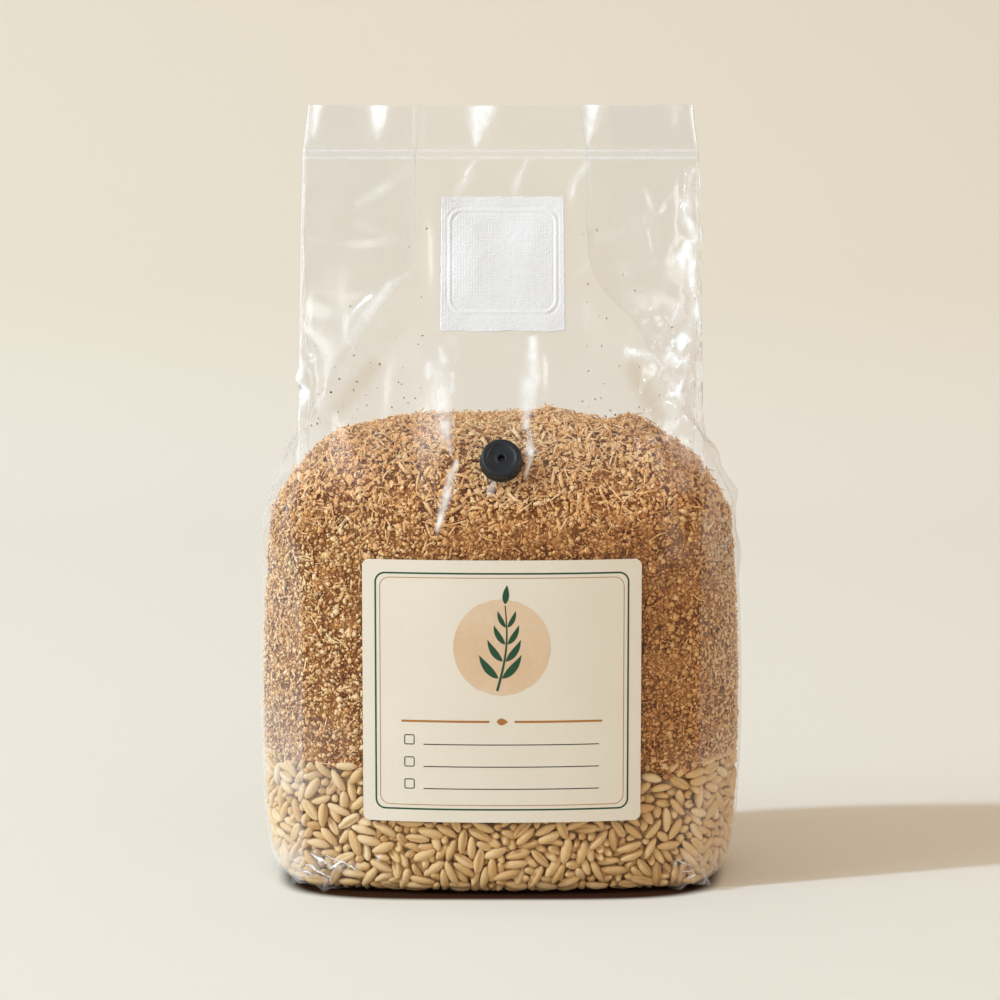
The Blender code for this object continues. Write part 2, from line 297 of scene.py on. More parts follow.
def startMaterial(name):
    material = bpy.data.materials.new(name)
    material.use_nodes = True
    tree = material.node_tree
    tree.nodes.clear()
    return material, tree, addNode(tree, "TexCoord", {}).outputs["Object"]


def endMaterial(material, shader):
    addNode(material.node_tree, "OutputMaterial", {"Surface": shader})
    return material


def startGroup(name, inputs, outputs):
    # an input with no value, or with three numbers, is a vector
    tree = bpy.data.node_groups.new(name, "ShaderNodeTree")
    for label, value in inputs.items():
        kind = "NodeSocketFloat" if isinstance(value, float) else "NodeSocketVector"
        socket = tree.interface.new_socket(label, in_out="INPUT", socket_type=kind)
        if value is not None:
            socket.default_value = value
    for label in outputs:
        tree.interface.new_socket(label, in_out="OUTPUT", socket_type="NodeSocketFloat")
    return tree, tree.nodes.new("NodeGroupInput").outputs


def endGroup(tree, results):
    fillInputs(tree, tree.nodes.new("NodeGroupOutput"), results)
    return tree


def makeSpeckleGroup():
    # soft patches and fine specks over a surface, as one mask and one height
    tree, given = startGroup(
        "speckle", {"Vector": None, "Patch Scale": 60.0, "Speck Scale": 600.0, "Speck Share": 0.5},
        ("Mask", "Height"),
    )
    patch = addNode(tree, "TexNoise", {
        "Vector": given["Vector"], "Scale": given["Patch Scale"], "Detail": 2.0,
    })
    speck = addNode(tree, "TexNoise", {
        "Vector": given["Vector"], "Scale": given["Speck Scale"], "Detail": 4.0, "Roughness": 0.7,
    })
    blend = addNode(tree, "Mix", {"Factor": given["Speck Share"], "A": patch, "B": speck})
    spread = addNode(tree, "MapRange", {"Value": blend, "From Min": 0.3, "From Max": 0.7})
    return endGroup(tree, {"Mask": spread, "Height": speck})


def makeFibreGroup():
    # thin fibres: noise drawn out along one direction
    tree, given = startGroup(
        "fibres", {"Vector": None, "Scale": 500.0, "Stretch": (1.0, 1.0, 0.12)}, ("Mask",),
    )
    drawn = addNode(tree, "VectorMath", {0: given["Vector"], 1: given["Stretch"]}, operation="MULTIPLY")
    noise = addNode(tree, "TexNoise", {
        "Vector": drawn, "Scale": given["Scale"], "Detail": 3.0, "Roughness": 0.6, "Distortion": 0.6,
    })
    spread = addNode(tree, "MapRange", {"Value": noise, "From Min": 0.32, "From Max": 0.68})
    return endGroup(tree, {"Mask": spread})


def makeCrumbGroup():
    # packed crumbs: a tone for each, painted shade in the cracks between them, and their height
    tree, given = startGroup("crumbs", {"Vector": None, "Scale": 750.0, "Crack": 0.25}, ("Tone", "Height"))
    warp = addNode(tree, "TexNoise", {"Vector": given["Vector"], "Scale": 500.0, "Detail": 2.0})
    bend = addNode(tree, "VectorMath", {0: warp.outputs["Color"], "Scale": 0.0016}, operation="SCALE")
    moved = addNode(tree, "VectorMath", {0: given["Vector"], 1: bend}, operation="ADD")
    where = {"Vector": moved, "Scale": given["Scale"]}
    cells = addNode(tree, "TexVoronoi", where)
    edges = addNode(tree, "TexVoronoi", where, feature="DISTANCE_TO_EDGE")
    split = addNode(tree, "SeparateColor", {"Color": cells.outputs["Color"]})
    crack = addNode(tree, "MapRange", {
        "Value": edges, "From Min": 0.0, "From Max": given["Crack"], "To Min": 0.0, "To Max": 1.0,
    })
    # the tone is darkened in the cracks, a painted shade
    return endGroup(tree, {"Tone": maths(tree, "MULTIPLY", split.outputs["Red"], crack), "Height": crack})


speckle = makeSpeckleGroup()
fibres = makeFibreGroup()


def placeSpeckle(tree, place, patchScale, speckScale, share):
    return addNode(tree, "Group", {
        "Vector": place, "Patch Scale": patchScale, "Speck Scale": speckScale, "Speck Share": share,
    }, node_tree=speckle)


def placeFibres(tree, place, scale, stretch):
    return addNode(tree, "Group", {"Vector": place, "Scale": scale, "Stretch": stretch}, node_tree=fibres)


filmLook = {
    # how much it mirrors where it lies on the filling, stands free and is seen edge on
    "wetMirror": 0.0065, "freeMirror": 0.043, "rimMirror": 0.5,
    "sharp": 0.16, "soft": 0.42, "softShare": 0.5,
    "tint": (0.980, 0.979, 0.978), "hazeColour": (0.965, 0.97, 0.985), "slantHaze": 0.16,
    # the brown tint of the painted reflection of the filling
    "paintedBrownReflection": (0.80, 0.70, 0.58),
}


def makeFilmMaterial():
    # one thin skin: clear where faced squarely, more of a mirror at a slant, milky where the tone says so;
    # the tone also carries painted highlights
    look = filmLook
    material, tree, place = startMaterial("clear_film")
    tone, free, paintedBrownReflection = (readPoint(tree, name) for name in ("tone", "free", "paintedBrownReflection"))
    facing = addNode(tree, "LayerWeight", {"Blend": 0.5}).outputs["Facing"]
    rim = maths(tree, "MULTIPLY", maths(tree, "POWER", facing, 5.0), look["rimMirror"])
    held = maths(tree, "MULTIPLY_ADD", free, 0.8, 0.2)
    squarely = maths(tree, "MULTIPLY_ADD", free, look["freeMirror"], look["wetMirror"])
    mirror = maths(tree, "MULTIPLY_ADD", rim, held, squarely)
    cloud = addNode(tree, "TexNoise", {
        "Vector": place, "Scale": 70.0, "Detail": 4.0, "Roughness": 0.65, "Distortion": 0.8,
    })
    patchy = addNode(tree, "MapRange", {
        "Value": cloud, "From Min": 0.35, "From Max": 0.65, "To Min": 0.7, "To Max": 1.25,
    })
    milky = maths(tree, "MULTIPLY", patchy, tone)
    loose = maths(tree, "MULTIPLY_ADD", free, 4.0, 1.0, clamp=True)
    slanted = maths(tree, "MULTIPLY", maths(tree, "POWER", facing, 3.0), loose)
    haze = maths(tree, "MULTIPLY_ADD", slanted, look["slantHaze"], milky, clamp=True)
    ripple = placeSpeckle(tree, place, patchScale=110.0, speckScale=300.0, share=0.4)
    bump = addBump(tree, ripple, strength=0.16, distance=0.0006)
    # the painted brown reflection tints what shows through
    clear = addNode(tree, "BsdfTransparent", {"Color": mixColours(tree, paintedBrownReflection, look["tint"], look["paintedBrownReflection"])})
    sharp, soft = (
        addNode(tree, "BsdfAnisotropic", {"Roughness": look[key], "Color": (1, 1, 1, 1), "Normal": bump})
        for key in ("sharp", "soft")
    )
    gloss = addNode(tree, "MixShader", {"Fac": look["softShare"], 1: sharp, 2: soft})
    skin = addNode(tree, "MixShader", {"Fac": mirror, 1: clear, 2: gloss})
    # the milky white, which also shows the painted highlights of the tone
    white = addNode(tree, "BsdfDiffuse", {"Color": (*look["hazeColour"], 1)})
    return endMaterial(material, addNode(tree, "MixShader", {"Fac": haze, 1: skin, 2: white}))


def makeWoodMaterial(name, stops, scale, bump):
    # wood crumbs: each has its own tone, and fibres run through it
    material, tree, place = startMaterial(name)
    grain = placeFibres(tree, place, scale=scale, stretch=(1.0, 0.8, 0.35))
    spots = placeSpeckle(tree, place, patchScale=45.0, speckScale=900.0, share=0.55)
    mixed = maths(tree, "MULTIPLY_ADD", grain, 0.24, readPoint(tree, "tone"))
    shaded = maths(tree, "MULTIPLY_ADD", spots, 0.3, -0.27)
    colour = addRamp(tree, maths(tree, "ADD", mixed, shaded), stops)
    relief = addBump(tree, grain, strength=bump, distance=0.0005)
    return endMaterial(material, addSolid(tree, colour, roughness=0.85, specular=0.25, bump=relief))


def makePackedMaterial(stops):
    material, tree, place = startMaterial("packed_sawdust")
    crumbs = addNode(
        tree, "Group", {"Vector": place, "Scale": 760.0, "Crack": 0.3}, node_tree=makeCrumbGroup(),
    )
    fine = placeFibres(tree, place, scale=1300.0, stretch=(1.0, 0.8, 0.4))
    mixed = maths(tree, "MULTIPLY_ADD", crumbs, 0.55, readPoint(tree, "tone"))
    total = maths(tree, "MULTIPLY_ADD", fine, 0.2, mixed)
    colour = addRamp(tree, maths(tree, "SUBTRACT", total, 0.36), stops)
    bump = addBump(tree, crumbs.outputs["Height"], strength=0.9, distance=0.0006)
    return endMaterial(material, addSolid(tree, colour, roughness=0.85, specular=0.25, bump=bump))


def makeGrainMaterial(stops):
    material, tree, place = startMaterial("hydrated_grain")
    skin = placeSpeckle(tree, place, patchScale=260.0, speckScale=1500.0, share=0.4)
    colour = addRamp(tree, maths(tree, "MULTIPLY_ADD", skin, 0.22, readPoint(tree, "tone")), stops)
    bump = addBump(tree, skin.outputs["Height"], strength=0.25, distance=0.0004)
    return endMaterial(material, addSolid(tree, colour, roughness=0.55, specular=0.25, bump=bump))


def makePaperMaterial(name, pale, deep, roughness, fibreScale=700.0, bump=0.12, weave=0.0):
    # paper, ink and the fibrous filter: two near colours in soft patches, with fine fibres
    material, tree, place = startMaterial(name)
    patches = placeSpeckle(tree, place, patchScale=35.0, speckScale=500.0, share=0.3)
    fine = placeFibres(tree, place, scale=fibreScale, stretch=(0.5, 1.0, 1.0))
    # a fine diagonal emboss, where a weave is asked for
    flipped = addNode(tree, "VectorMath", {0: place, 1: (1, 1, -1)}, operation="MULTIPLY")
    bands, crossed = (
        addNode(tree, "TexWave", {"Vector": way, "Scale": 717.0}, bands_direction="DIAGONAL").outputs["Fac"]
        for way in (place, flipped)
    )
    woven = maths(tree, "MULTIPLY_ADD", maths(tree, "MULTIPLY", bands, crossed), weave, fine)
    colour = mixColours(tree, patches, pale, deep)
    relief = addBump(tree, woven, strength=bump, distance=0.0002)
    return endMaterial(material, addSolid(tree, colour, roughness, specular=0.35, bump=relief))


def makeRubberMaterial():
    material, tree, place = startMaterial("port_rubber")
    dusty = placeSpeckle(tree, place, patchScale=240.0, speckScale=2600.0, share=0.6)
    colour = addRamp(tree, dusty, [(0.0, (0.007, 0.0075, 0.009)), (1.0, (0.014, 0.015, 0.018))])
    rough = addNode(tree, "MapRange", {"Value": dusty, "To Min": 0.34, "To Max": 0.52})
    bump = addBump(tree, dusty.outputs["Height"], strength=0.1, distance=0.0002)
    return endMaterial(material, addSolid(tree, colour, roughness=rough, specular=0.3, bump=bump))


# Film

filmSettings = {
    "frontSteps": 216, "sideSteps": 44, "backSteps": 70,
    "rows": 214, "lowRow": 0.06,
    "baseShares": [0.97, 0.92, 0.85, 0.74, 0.6, 0.42, 0.22],
    "cling": 0.22,      # how far the film stands off between the lumps that it lies on
    "slack": 0.4,       # slow waves of the empty part
    # crushed facets: how much finer across and up, then their size, tilt, sharpness and seed
    "facets": {
        "left": (1.4, 0.8, 15, 0.048, 7, 5), "right": (1.5, 1, 12, 0.12, 10, 6),
        "fine": (1, 1, 5, 0.2, 7, 9), "edge": (1.6, 1, 8, 0.45, 12, 33),
        "shoulder": (1, 1.2, 6.2, 0.42, 12, 21), "soft": (1.3, 0.7, 20, 0.06, 7, 13),
    },
    "footTuck": 3.0, "footRise": 2.6,       # how the foot draws in above the table
    "weldDeep": 0.12, "weldTight": 0.55,
    "weldSteps": (0.5, -0.3),       # its pressed lines, from its lower and its upper edge
    "earCrush": 1.3,
    # how milky it is where it lies, stands free, is a side panel, an upright fold, the weld and the flap
    "clearHaze": 0.004, "freeHaze": 0.012, "sideHaze": 0.05, "tipHaze": (0.03, 0.42),
    "weldHaze": 0.32, "bandHaze": 0.09, "flapHaze": 0.02, "footHaze": 0.05,
    "foldHaze": 8, "foldClear": 0.25,       # the inner folds of the gussets are milky and mirror nothing
    # patchy veils on it: which side, where they begin across, rise and die in height, then their strength,
    # how even they are, the most they reach, the patches' size and the seed
    "veils": [
        (1, (46, 58), (96, 112), (138, 150), 0.08, 0.4, 1.0, 7, 211),
        (-1, (42, 62), (-2, -1), (40, 80), 0.09, 0.6, 1.3, 9, 213),
        (1, (50, 64), (-2, -1), (30, 60), 0.06, 0.6, 1.3, 9, 215),
    ],
    # folds on the front: from x, z to x, z, then height, width and bow; the back has them mirrored and lower
    "frontFolds": [
        (-16.0, 190, -18.4, 124, 1.2, 6.4, 0.8),
        (-19.4, 144, -20.8, 110, 0.7, 2.9, 0.3),
        (12.8, 191, 10.4, 125, 0.9, 4.2, -0.6),
        (-1.9, 137, 1.9, 125, 0.4, 1.7, 0.0),
        (-14.5, 216, -7.4, 236, 0.5, 2.6, 0.0),
        (2.0, 214, 9.2, 236, 0.5, 2.4, 0.0),
        (19.5, 212, 28.0, 236, 0.6, 3.0, 0.0),
        (-30.0, 203, -66.0, 143, 0.9, 5.6, 1.5),
        (27.0, 192, 63.0, 155, 0.6, 2.4, 2.5),
        (-64.5, 180, -62.0, 156, 1.0, 2.4, 0.0),
        (40.0, 176, 63.0, 169, 1.5, 3.6, 1.0),
        (46.0, 170, 62.0, 192, 1.1, 3.6, -1.0),
        (60.5, 236, 62.5, 190, 1.8, 3.8, 0.6),
        (43.0, 198, 47.0, 140, 1.2, 8.5, 0.0),
        (62.0, 180, 55.0, 140, 2.0, 4.0, 1.5),
        (48.0, 161, 64.0, 149, 1.2, 3.0, 0.0),
    ],
    # folds of the open flap: where across, how deep and how wide
    "flapFolds": [(-60.0, 0.8, 2.0), (-39.5, 1.2, 3.2), (-6.0, 2.1, 4.4), (30.0, 1.0, 2.5), (57.0, 0.5, 2.5)],
    # painted highlights on the front, laid on as milky white where its folds would glint: from x, z to x, z,
    # then the two half widths and the whiteness
    "streaks": [
        # the open flap
        (-59.3, 252, -60.8, 242.5, 1.5, 0.5, 0.55), (-39.5, 252, -40.3, 241.5, 3.0, 0.5, 0.3),
        (-28.1, 251, -28.1, 239.5, 0.4, 0.4, 0.35), (-25.2, 249, -25.6, 240, 1.2, 0.7, 0.2),
        (-6.2, 252, -8.2, 239, 3.9, 0.6, 0.92), (-2.5, 252, -7.5, 242, 2.0, 0.8, 0.35),
        (29.6, 252, 28.2, 240, 2.0, 0.5, 0.7), (33.5, 252, 30.0, 244, 2.0, 0.8, 0.25),
        (57.0, 252, 56.0, 246, 1.6, 1.0, 0.2),
        # between the weld and the patch
        (-8.5, 234, -11.2, 230.2, 0.6, 0.6, 0.55), (-10.0, 229, -14.5, 224, 1.6, 1.2, 0.22),
        (8.3, 234.2, 6.4, 230, 0.6, 0.7, 0.5), (6.2, 229.5, 4.4, 224, 0.9, 1.1, 0.3),
        (27.8, 233.3, 22.0, 224, 1.1, 1.0, 0.3),
        # the left gusset
        (-30.5, 231.5, -37.0, 226, 2.0, 1.6, 0.12), (-36.0, 226.5, -46.5, 220.5, 1.5, 0.9, 0.3),
        (-46.0, 214.5, -33.5, 208.5, 1.4, 1.0, 0.12), (-28.3, 234, -28.3, 200, 0.5, 0.5, 0.1),
        (-30.3, 198, -36.0, 194.5, 0.7, 1.0, 0.3), (-36.0, 194.5, -43.5, 184.5, 1.1, 1.7, 0.55),
        (-43.5, 184.5, -48.6, 176.5, 1.8, 1.6, 0.3), (-36.0, 192, -39.0, 181, 1.6, 1.2, 0.12),
        (-64.6, 178, -63.6, 168, 0.4, 1.0, 0.8), (-63.6, 168, -62.9, 160.5, 1.1, 1.8, 0.8),
        (-61.0, 158.6, -64.8, 157, 0.45, 0.45, 0.6),
        # down from the patch on the left
        (-16.0, 179, -14.2, 172, 1.7, 1.5, 0.22), (-19.4, 174.5, -18.3, 170.8, 0.5, 1.4, 0.65),
        (-23.3, 169.5, -23.3, 165.5, 1.0, 1.0, 0.38), (-20.5, 168, -17.0, 163, 2.4, 2.4, 0.2),
        (-15.5, 166.5, -15.5, 161, 0.8, 0.9, 0.42), (-18.4, 160.5, -18.0, 155.5, 2.7, 2.4, 0.36),
        (-17.6, 154.5, -17.4, 150.5, 2.2, 1.9, 0.3), (-17.4, 150.5, -17.5, 146.6, 1.8, 1.6, 0.6),
        (-17.0, 146, -16.0, 142.4, 1.5, 0.6, 0.5), (-14.0, 139, -15.8, 134.8, 0.6, 1.0, 0.75),
        (-15.8, 134.8, -17.2, 129.5, 1.0, 1.1, 0.85), (-17.2, 129.5, -20.2, 118.6, 1.15, 0.5, 0.95),
        # and on the right, past the port
        (10.2, 178.5, 10.3, 172, 1.2, 1.3, 0.95), (10.3, 171.5, 11.0, 165.5, 2.3, 2.2, 0.45),
        (9.2, 163.8, 8.6, 156.5, 2.4, 2.1, 0.52), (8.2, 155, 8.0, 150.5, 1.1, 1.0, 0.75),
        (9.2, 148, 9.3, 144, 0.9, 0.9, 0.42), (9.3, 142.9, 9.2, 139.5, 1.2, 0.5, 0.85),
        (9.2, 139.5, 7.9, 135.3, 0.45, 0.4, 0.8), (-1.6, 135, -3.6, 130.5, 0.4, 0.9, 0.4),
        # the right edge
        (62.3, 231, 61.0, 215, 0.6, 1.7, 0.6), (61.0, 215, 62.8, 207.5, 1.5, 0.6, 0.65),
        (60.2, 208, 58.8, 203, 1.0, 2.0, 0.7), (59.2, 203, 61.2, 196, 2.3, 1.7, 1.0),
        (60.2, 194.5, 58.5, 186, 1.2, 3.2, 0.42), (62.9, 188.5, 63.1, 184.5, 0.6, 0.7, 0.9),
        (60.0, 195, 54.8, 182.7, 0.4, 0.5, 0.6), (54.7, 182.7, 48.7, 176.2, 0.4, 0.4, 0.45),
        # faint veils of the right gusset
        (31.7, 210, 40.7, 211, 1.8, 2.4, 0.1), (40.7, 211, 48.5, 216.5, 2.4, 2.0, 0.13),
        (22.0, 197, 28.7, 201, 1.0, 1.0, 0.1), (27.2, 188, 27.6, 181, 1.4, 1.0, 0.14),
        (38.0, 199, 50.0, 201, 1.5, 1.5, 0.08), (40.5, 190.5, 41.0, 187, 1.6, 1.6, 0.15),
        # the crushed right shoulder
        (41.2, 173.3, 43.0, 172.7, 0.6, 0.6, 0.9), (44.0, 172.2, 54.0, 170.9, 0.8, 1.2, 0.72),
        (49.4, 174.8, 53.6, 174.2, 0.9, 0.9, 0.85), (49.2, 169.6, 49.4, 167.8, 0.8, 0.6, 0.5),
        (54.2, 171.5, 53.6, 166, 1.5, 1.5, 0.9), (53.6, 166, 55.0, 160.5, 1.4, 1.2, 0.85),
        (57.9, 177.6, 57.6, 174.6, 1.5, 0.7, 0.95), (54.8, 176.4, 58.0, 178.1, 0.5, 0.5, 0.6),
        (58.0, 178.1, 61.0, 176.6, 0.5, 0.5, 0.5), (60.5, 172.2, 62.3, 171.2, 0.9, 1.1, 0.85),
        (59.8, 171.5, 56.3, 169, 0.5, 0.5, 0.7), (59.0, 170, 60.0, 166, 0.6, 0.9, 0.85),
        (60.0, 166, 57.6, 161.6, 0.9, 0.8, 0.85), (56.9, 161, 58.3, 156, 1.6, 1.0, 0.85),
        (62.3, 168.6, 63.0, 165.6, 0.5, 0.5, 0.7),
        # soft veils over the shoulders of the sawdust
        (55.0, 154, 60.0, 144, 4.5, 5.0, 0.16), (-56.0, 153, -61.0, 143, 4.0, 4.5, 0.14),
        # the crumpled foot
        (-60.5, 12, -54.7, 8.3, 1.2, 1.2, 0.2), (-54.7, 8.2, -47.2, 9.3, 1.2, 1.2, 0.2),
        (-63.0, 7.0, -56.0, 5.0, 1.4, 1.4, 0.2),
        (-38.8, 12.8, -39.3, 12.0, 0.5, 0.5, 0.7), (56.0, 9.9, 56.2, 9.3, 0.6, 0.5, 0.6),
        (59.0, 8.9, 62.8, 8.2, 0.4, 0.5, 0.4), (60.5, 4.4, 62.5, 6.2, 0.5, 0.5, 0.4),
    ],
    # painted highlights at the crushed foot, as thin pale strips where its sharp folds would glint: points
    # from left to right, then the half width
    "creases": [
        ([(-61.6, 12.6), (-59.6, 11.4), (-57.3, 10.6), (-55.6, 9.3), (-54.4, 7.7)], 0.42),
        ([(-55.2, 7.8), (-53.2, 9.0), (-51.6, 10.4), (-50.0, 10.6)], 0.38),
        ([(-50.8, 10.9), (-49.3, 9.5), (-48.2, 9.1), (-46.6, 7.9)], 0.4),
        ([(-56.4, 12.4), (-54.6, 11.2), (-53.2, 11.0), (-51.2, 9.9)], 0.2),
        ([(-63.2, 8.8), (-61.2, 8.3), (-59.6, 6.9), (-57.4, 6.4)], 0.34),
        ([(-64.2, 6.3), (-62.0, 6.6), (-60.2, 5.4), (-58.6, 5.2)], 0.26),
        ([(-59.2, 7.6), (-57.6, 6.2), (-55.9, 5.4), (-54.8, 4.2)], 0.32),
        ([(-39.8, 13.2), (-39.0, 12.1)], 0.3),
        ([(56.4, 11.4), (58.2, 9.9), (60.4, 9.4), (62.6, 7.9)], 0.2),
        ([(58.8, 6.9), (60.8, 6.4), (62.8, 7.2)], 0.22),
        ([(60.2, 4.0), (61.6, 5.2), (63.2, 5.6)], 0.22),
    ],
    # painted reflections of the brown filling: a brown tint where the folded film would mirror it
    "paintedBrownReflections": [
        (-41.0, 169, -55.0, 152, 2.4, 3.0, 0.4), (42.0, 168, 50.0, 154, 2.4, 3.0, 0.5),
        (53.5, 9.5, 58.0, 8.0, 1.4, 1.8, 0.6), (58.5, 7.0, 62.0, 8.6, 1.2, 0.8, 0.8),
    ],
}


def filmColumns(z):
    # the film's section at each height, anticlockwise from the front left crease, and where its parts begin
    form, z = bagForm, z[:, None]
    corner, panel = tableAt(form["corner"], z), tableAt(form["panel"], z)
    panelSwell, swell = tableAt(form["panelSwell"], z), tableAt(form["sideSwell"], z)
    fold = tableAt(form["creaseFold"], z)
    foot = filmSettings["footTuck"] * np.clip(1 - z / filmSettings["footRise"], 0, 1) ** 1.5
    corner, panel = corner - foot, panel - foot
    depth = panel - panelSwell
    out = form["ear"] * np.sin(np.pi * np.minimum(1, z / form["earTop"]))
    tuck = out * form["earRoot"] + fold - form["hairpin"]
    t = np.linspace(-1, 1, filmSettings["frontSteps"] + 1)[None]
    b = np.linspace(1, -1, filmSettings["backSteps"] + 1)[None]
    q = np.linspace(-1, 1, filmSettings["sideSteps"] + 1)[None]
    s = 1 - np.abs(q)
    bow = np.where(swell > 0, 1 - (1 - s) ** 2, s)
    sideX = corner + swell * bow + tuck * (1 - s) ** 2
    sideY = np.sign(q) * ((depth - 2 * fold) * (1 - s) + form["hairpin"] * (s < 1))
    tipX, tipY = corner + fold + out, depth - fold + out * form["earBackward"]
    parts = [
        (corner * t, -(panel - panelSwell * t * t)),
        (tipX, -tipY), (sideX, sideY), (tipX, tipY),
        (corner * b, panel - panelSwell * b * b + form["backExtra"] * panelSwell * (1 - b * b)),
        (-tipX, tipY), (-sideX, -sideY), (-tipX, -tipY),
    ]
    x = np.concatenate([p[0] for p in parts], axis=1)
    y = np.concatenate([p[1] for p in parts], axis=1)
    sizes = [p[0].shape[1] for p in parts]
    return np.stack((x, y, np.broadcast_to(z, x.shape)), axis=-1), np.cumsum([0] + sizes)


def insideBox(x, z, centreX, centreZ, halfWidth, halfHeight, soft):
    # 1 under a sheet that lies on the front, 0 away from it
    away = np.maximum(np.abs(x - centreX) - halfWidth, np.abs(z - centreZ) - halfHeight)
    return 1 - smoothStep(0, soft, away)


def between(low, high, value):
    # rises over the first pair of numbers and dies over the second
    return smoothStep(*low, value) * (1 - smoothStep(*high, value))


def frontRelief(x, z, seed):
    # slack, crumples and cling of a front or back panel
    def facets(name):
        narrow, low, size, tilt, sharp, step = filmSettings["facets"][name]
        return crumple(x * narrow, z * low, size, tilt, seed + step, sharp)

    cling = filmSettings["cling"] * (0.5 + 0.5 * waves(x, z, 6.5, seed)) * (1 - smoothStep(112, 135, z))
    free = between((118, 150), (222, 233), z)
    slack = waves(x, z * 0.35, 17, seed + 1) + 0.5 * waves(x, z * 0.6, 9, seed + 2)
    tall = between((128, 160), (226, 234), z)
    left, right = smoothStep(36, 60, -x) * tall, smoothStep(36, 60, x) * tall
    # a hard crumple down the right edge, and one low on the left
    edge = smoothStep(57, 62, x) * tall + smoothStep(58, 63, -x) * between((150, 158), (172, 180), z)
    # the right shoulder, where the fold opens, is crushed hardest
    shoulder = smoothStep(38, 50, x) * between((142, 154), (182, 194), z)
    crushed = facets("left") * left + facets("right") * right + facets("fine") * (left * 0.1 + right * 0.4)
    crushed += facets("edge") * edge + facets("shoulder") * shoulder
    return cling + filmSettings["slack"] * slack * free + crushed + facets("soft") * free


def sideRelief(y, z, seed):
    # cling, and facets where the panel leaves the filling and where it is folded in
    lying = 1 - smoothStep(128, 150, z)
    relief = filmSettings["cling"] * (0.5 + 0.5 * waves(y, z, 6.5, seed)) * lying
    relief += np.abs(crumple(y, z, 12, 0.42, seed + 3)) * between((92, 120), (150, 166), z)
    return relief + crumple(y * 2, z, 12, 0.3, seed + 7) * between((150, 170), (214, 230), z) * 0.6


def streakTone(x, z, lines):
    # soft tapered streaks, the strongest of them at each point
    tone = np.zeros(x.shape)
    for x0, z0, x1, z1, wide0, wide1, strength in lines:
        alongX, alongZ = x1 - x0, z1 - z0
        t = np.clip(((x - x0) * alongX + (z - z0) * alongZ) / (alongX ** 2 + alongZ ** 2), 0, 1)
        away = np.hypot(x - x0 - t * alongX, z - z0 - t * alongZ)
        wide = 1.18 * (wide0 + (wide1 - wide0) * t)
        tone = np.maximum(tone, 1.12 * strength * np.exp(-(away / wide) ** 2.3))
    return tone


def weldLines(z, width):
    # the two pressed lines of the weld
    edges = zip((bagForm["sealLow"], bagForm["sealHigh"]), filmSettings["weldSteps"])
    return sum(np.exp(-((z - edge - step) / width) ** 2) for edge, step in edges)


def filmHaze(x, y, z, side, tip):
    # how milky each point of the film is
    s, low, high = filmSettings, bagForm["sealLow"], bagForm["sealHigh"]
    free = smoothStep(120, 150, z)
    haze = s["clearHaze"] + s["freeHaze"] * free + s["sideHaze"] * side * (1 - 0.8 * free)
    haze += (s["tipHaze"][0] + s["tipHaze"][1] * free) * tip + s["weldHaze"] * weldLines(z, 0.42)
    haze += s["bandHaze"] * between((low, low + 0.6), (high - 0.6, high), z)
    haze += s["flapHaze"] * smoothStep(high, high + 1, z)
    haze += s["footHaze"] * smoothStep(52, 62, np.abs(x)) * (1 - smoothStep(8, 16, z))
    for handed, across, rise, die, strength, even, most, size, seed in s["veils"]:
        patchy = np.clip(even + waves(x + y, z, size, seed), 0, most)
        haze += strength * smoothStep(*across, handed * x) * between(rise, die, z) * patchy
    return haze


def makeGlintStrips(face, material):
    # thin jagged pale ridges that lie on the front of the film: painted glints of its sharp folds
    flats, faces, count = [], [], 0
    heights = face[:, :, 2].mean(axis=1)
    for path, half in filmSettings["creases"]:
        path = np.array(path)
        steps = max(4, len(path) * 3)
        s = np.linspace(0, len(path) - 1, steps)
        x, z = (np.interp(s, np.arange(len(path)), path[:, k]) for k in (0, 1))
        way = unit(np.stack((np.gradient(x), np.gradient(z)), axis=1))
        taper = np.sin(np.linspace(0.12, math.pi - 0.12, steps)) ** 0.5
        wide = half * taper * (1 + 0.5 * waves(x, z, 1.3, 251))
        for side, off in ((-1, 0.12), (0, 0.3), (1, 0.12)):
            px, pz = x - side * way[:, 1] * wide, z + side * way[:, 0] * wide
            row = np.abs(heights - pz[:, None]).argmin(axis=1)
            column = np.abs(face[row, :, 0] - px[:, None]).argmin(axis=1)
            flats.append(np.stack((px, face[row, column, 1] - off, pz), axis=1))
        faces.append(gridFaces(3, steps, closed=False, start=count))
        count += 3 * steps
    makePiece("film_creases", np.concatenate(flats), faces, material, smooth=False)


def filmRelief(x, y, z, front, right, back, left):
    # how far each point stands out from the plain folded bag
    relief = np.zeros(x.shape)
    xf, zf, xb, zb = x[:, front], z[:, front], x[:, back], z[:, back]
    relief[:, front], relief[:, back] = frontRelief(xf, zf, 11), frontRelief(-xb, zb, 61)
    for fold in filmSettings["frontFolds"]:
        relief[:, front] += foldHeight(xf, zf, fold)
        mirrored = (-fold[0] * 0.8 + 6, fold[1] - 4, -fold[2] * 0.8 + 2, fold[3] + 3, *fold[4:])
        relief[:, back] += 0.8 * foldHeight(xb, zb, mirrored)
    covers = [(labelSettings, 43.6, 41.6, 3), (patchSettings, 20.4, 22, 4), (portSettings, 5.6, 5.6, 4)]
    covered = [insideBox(xf, zf, sheet["x"], sheet["z"], *sizes) for sheet, *sizes in covers]
    relief[:, front] *= 1 - np.maximum.reduce(covered)
    for part, seed in ((right, 101), (left, 151)):
        relief[:, part] = sideRelief(y[:, part], z[:, part], seed)
    # at the weld all layers are drawn together, but for its two pressed lines
    low, high = bagForm["sealLow"], bagForm["sealHigh"]
    relief *= np.where(z > low - 6, smoothStep(0, 6, np.maximum(low - z, z - high)), 1)
    return relief + filmSettings["weldDeep"] * weldLines(z, 0.35)


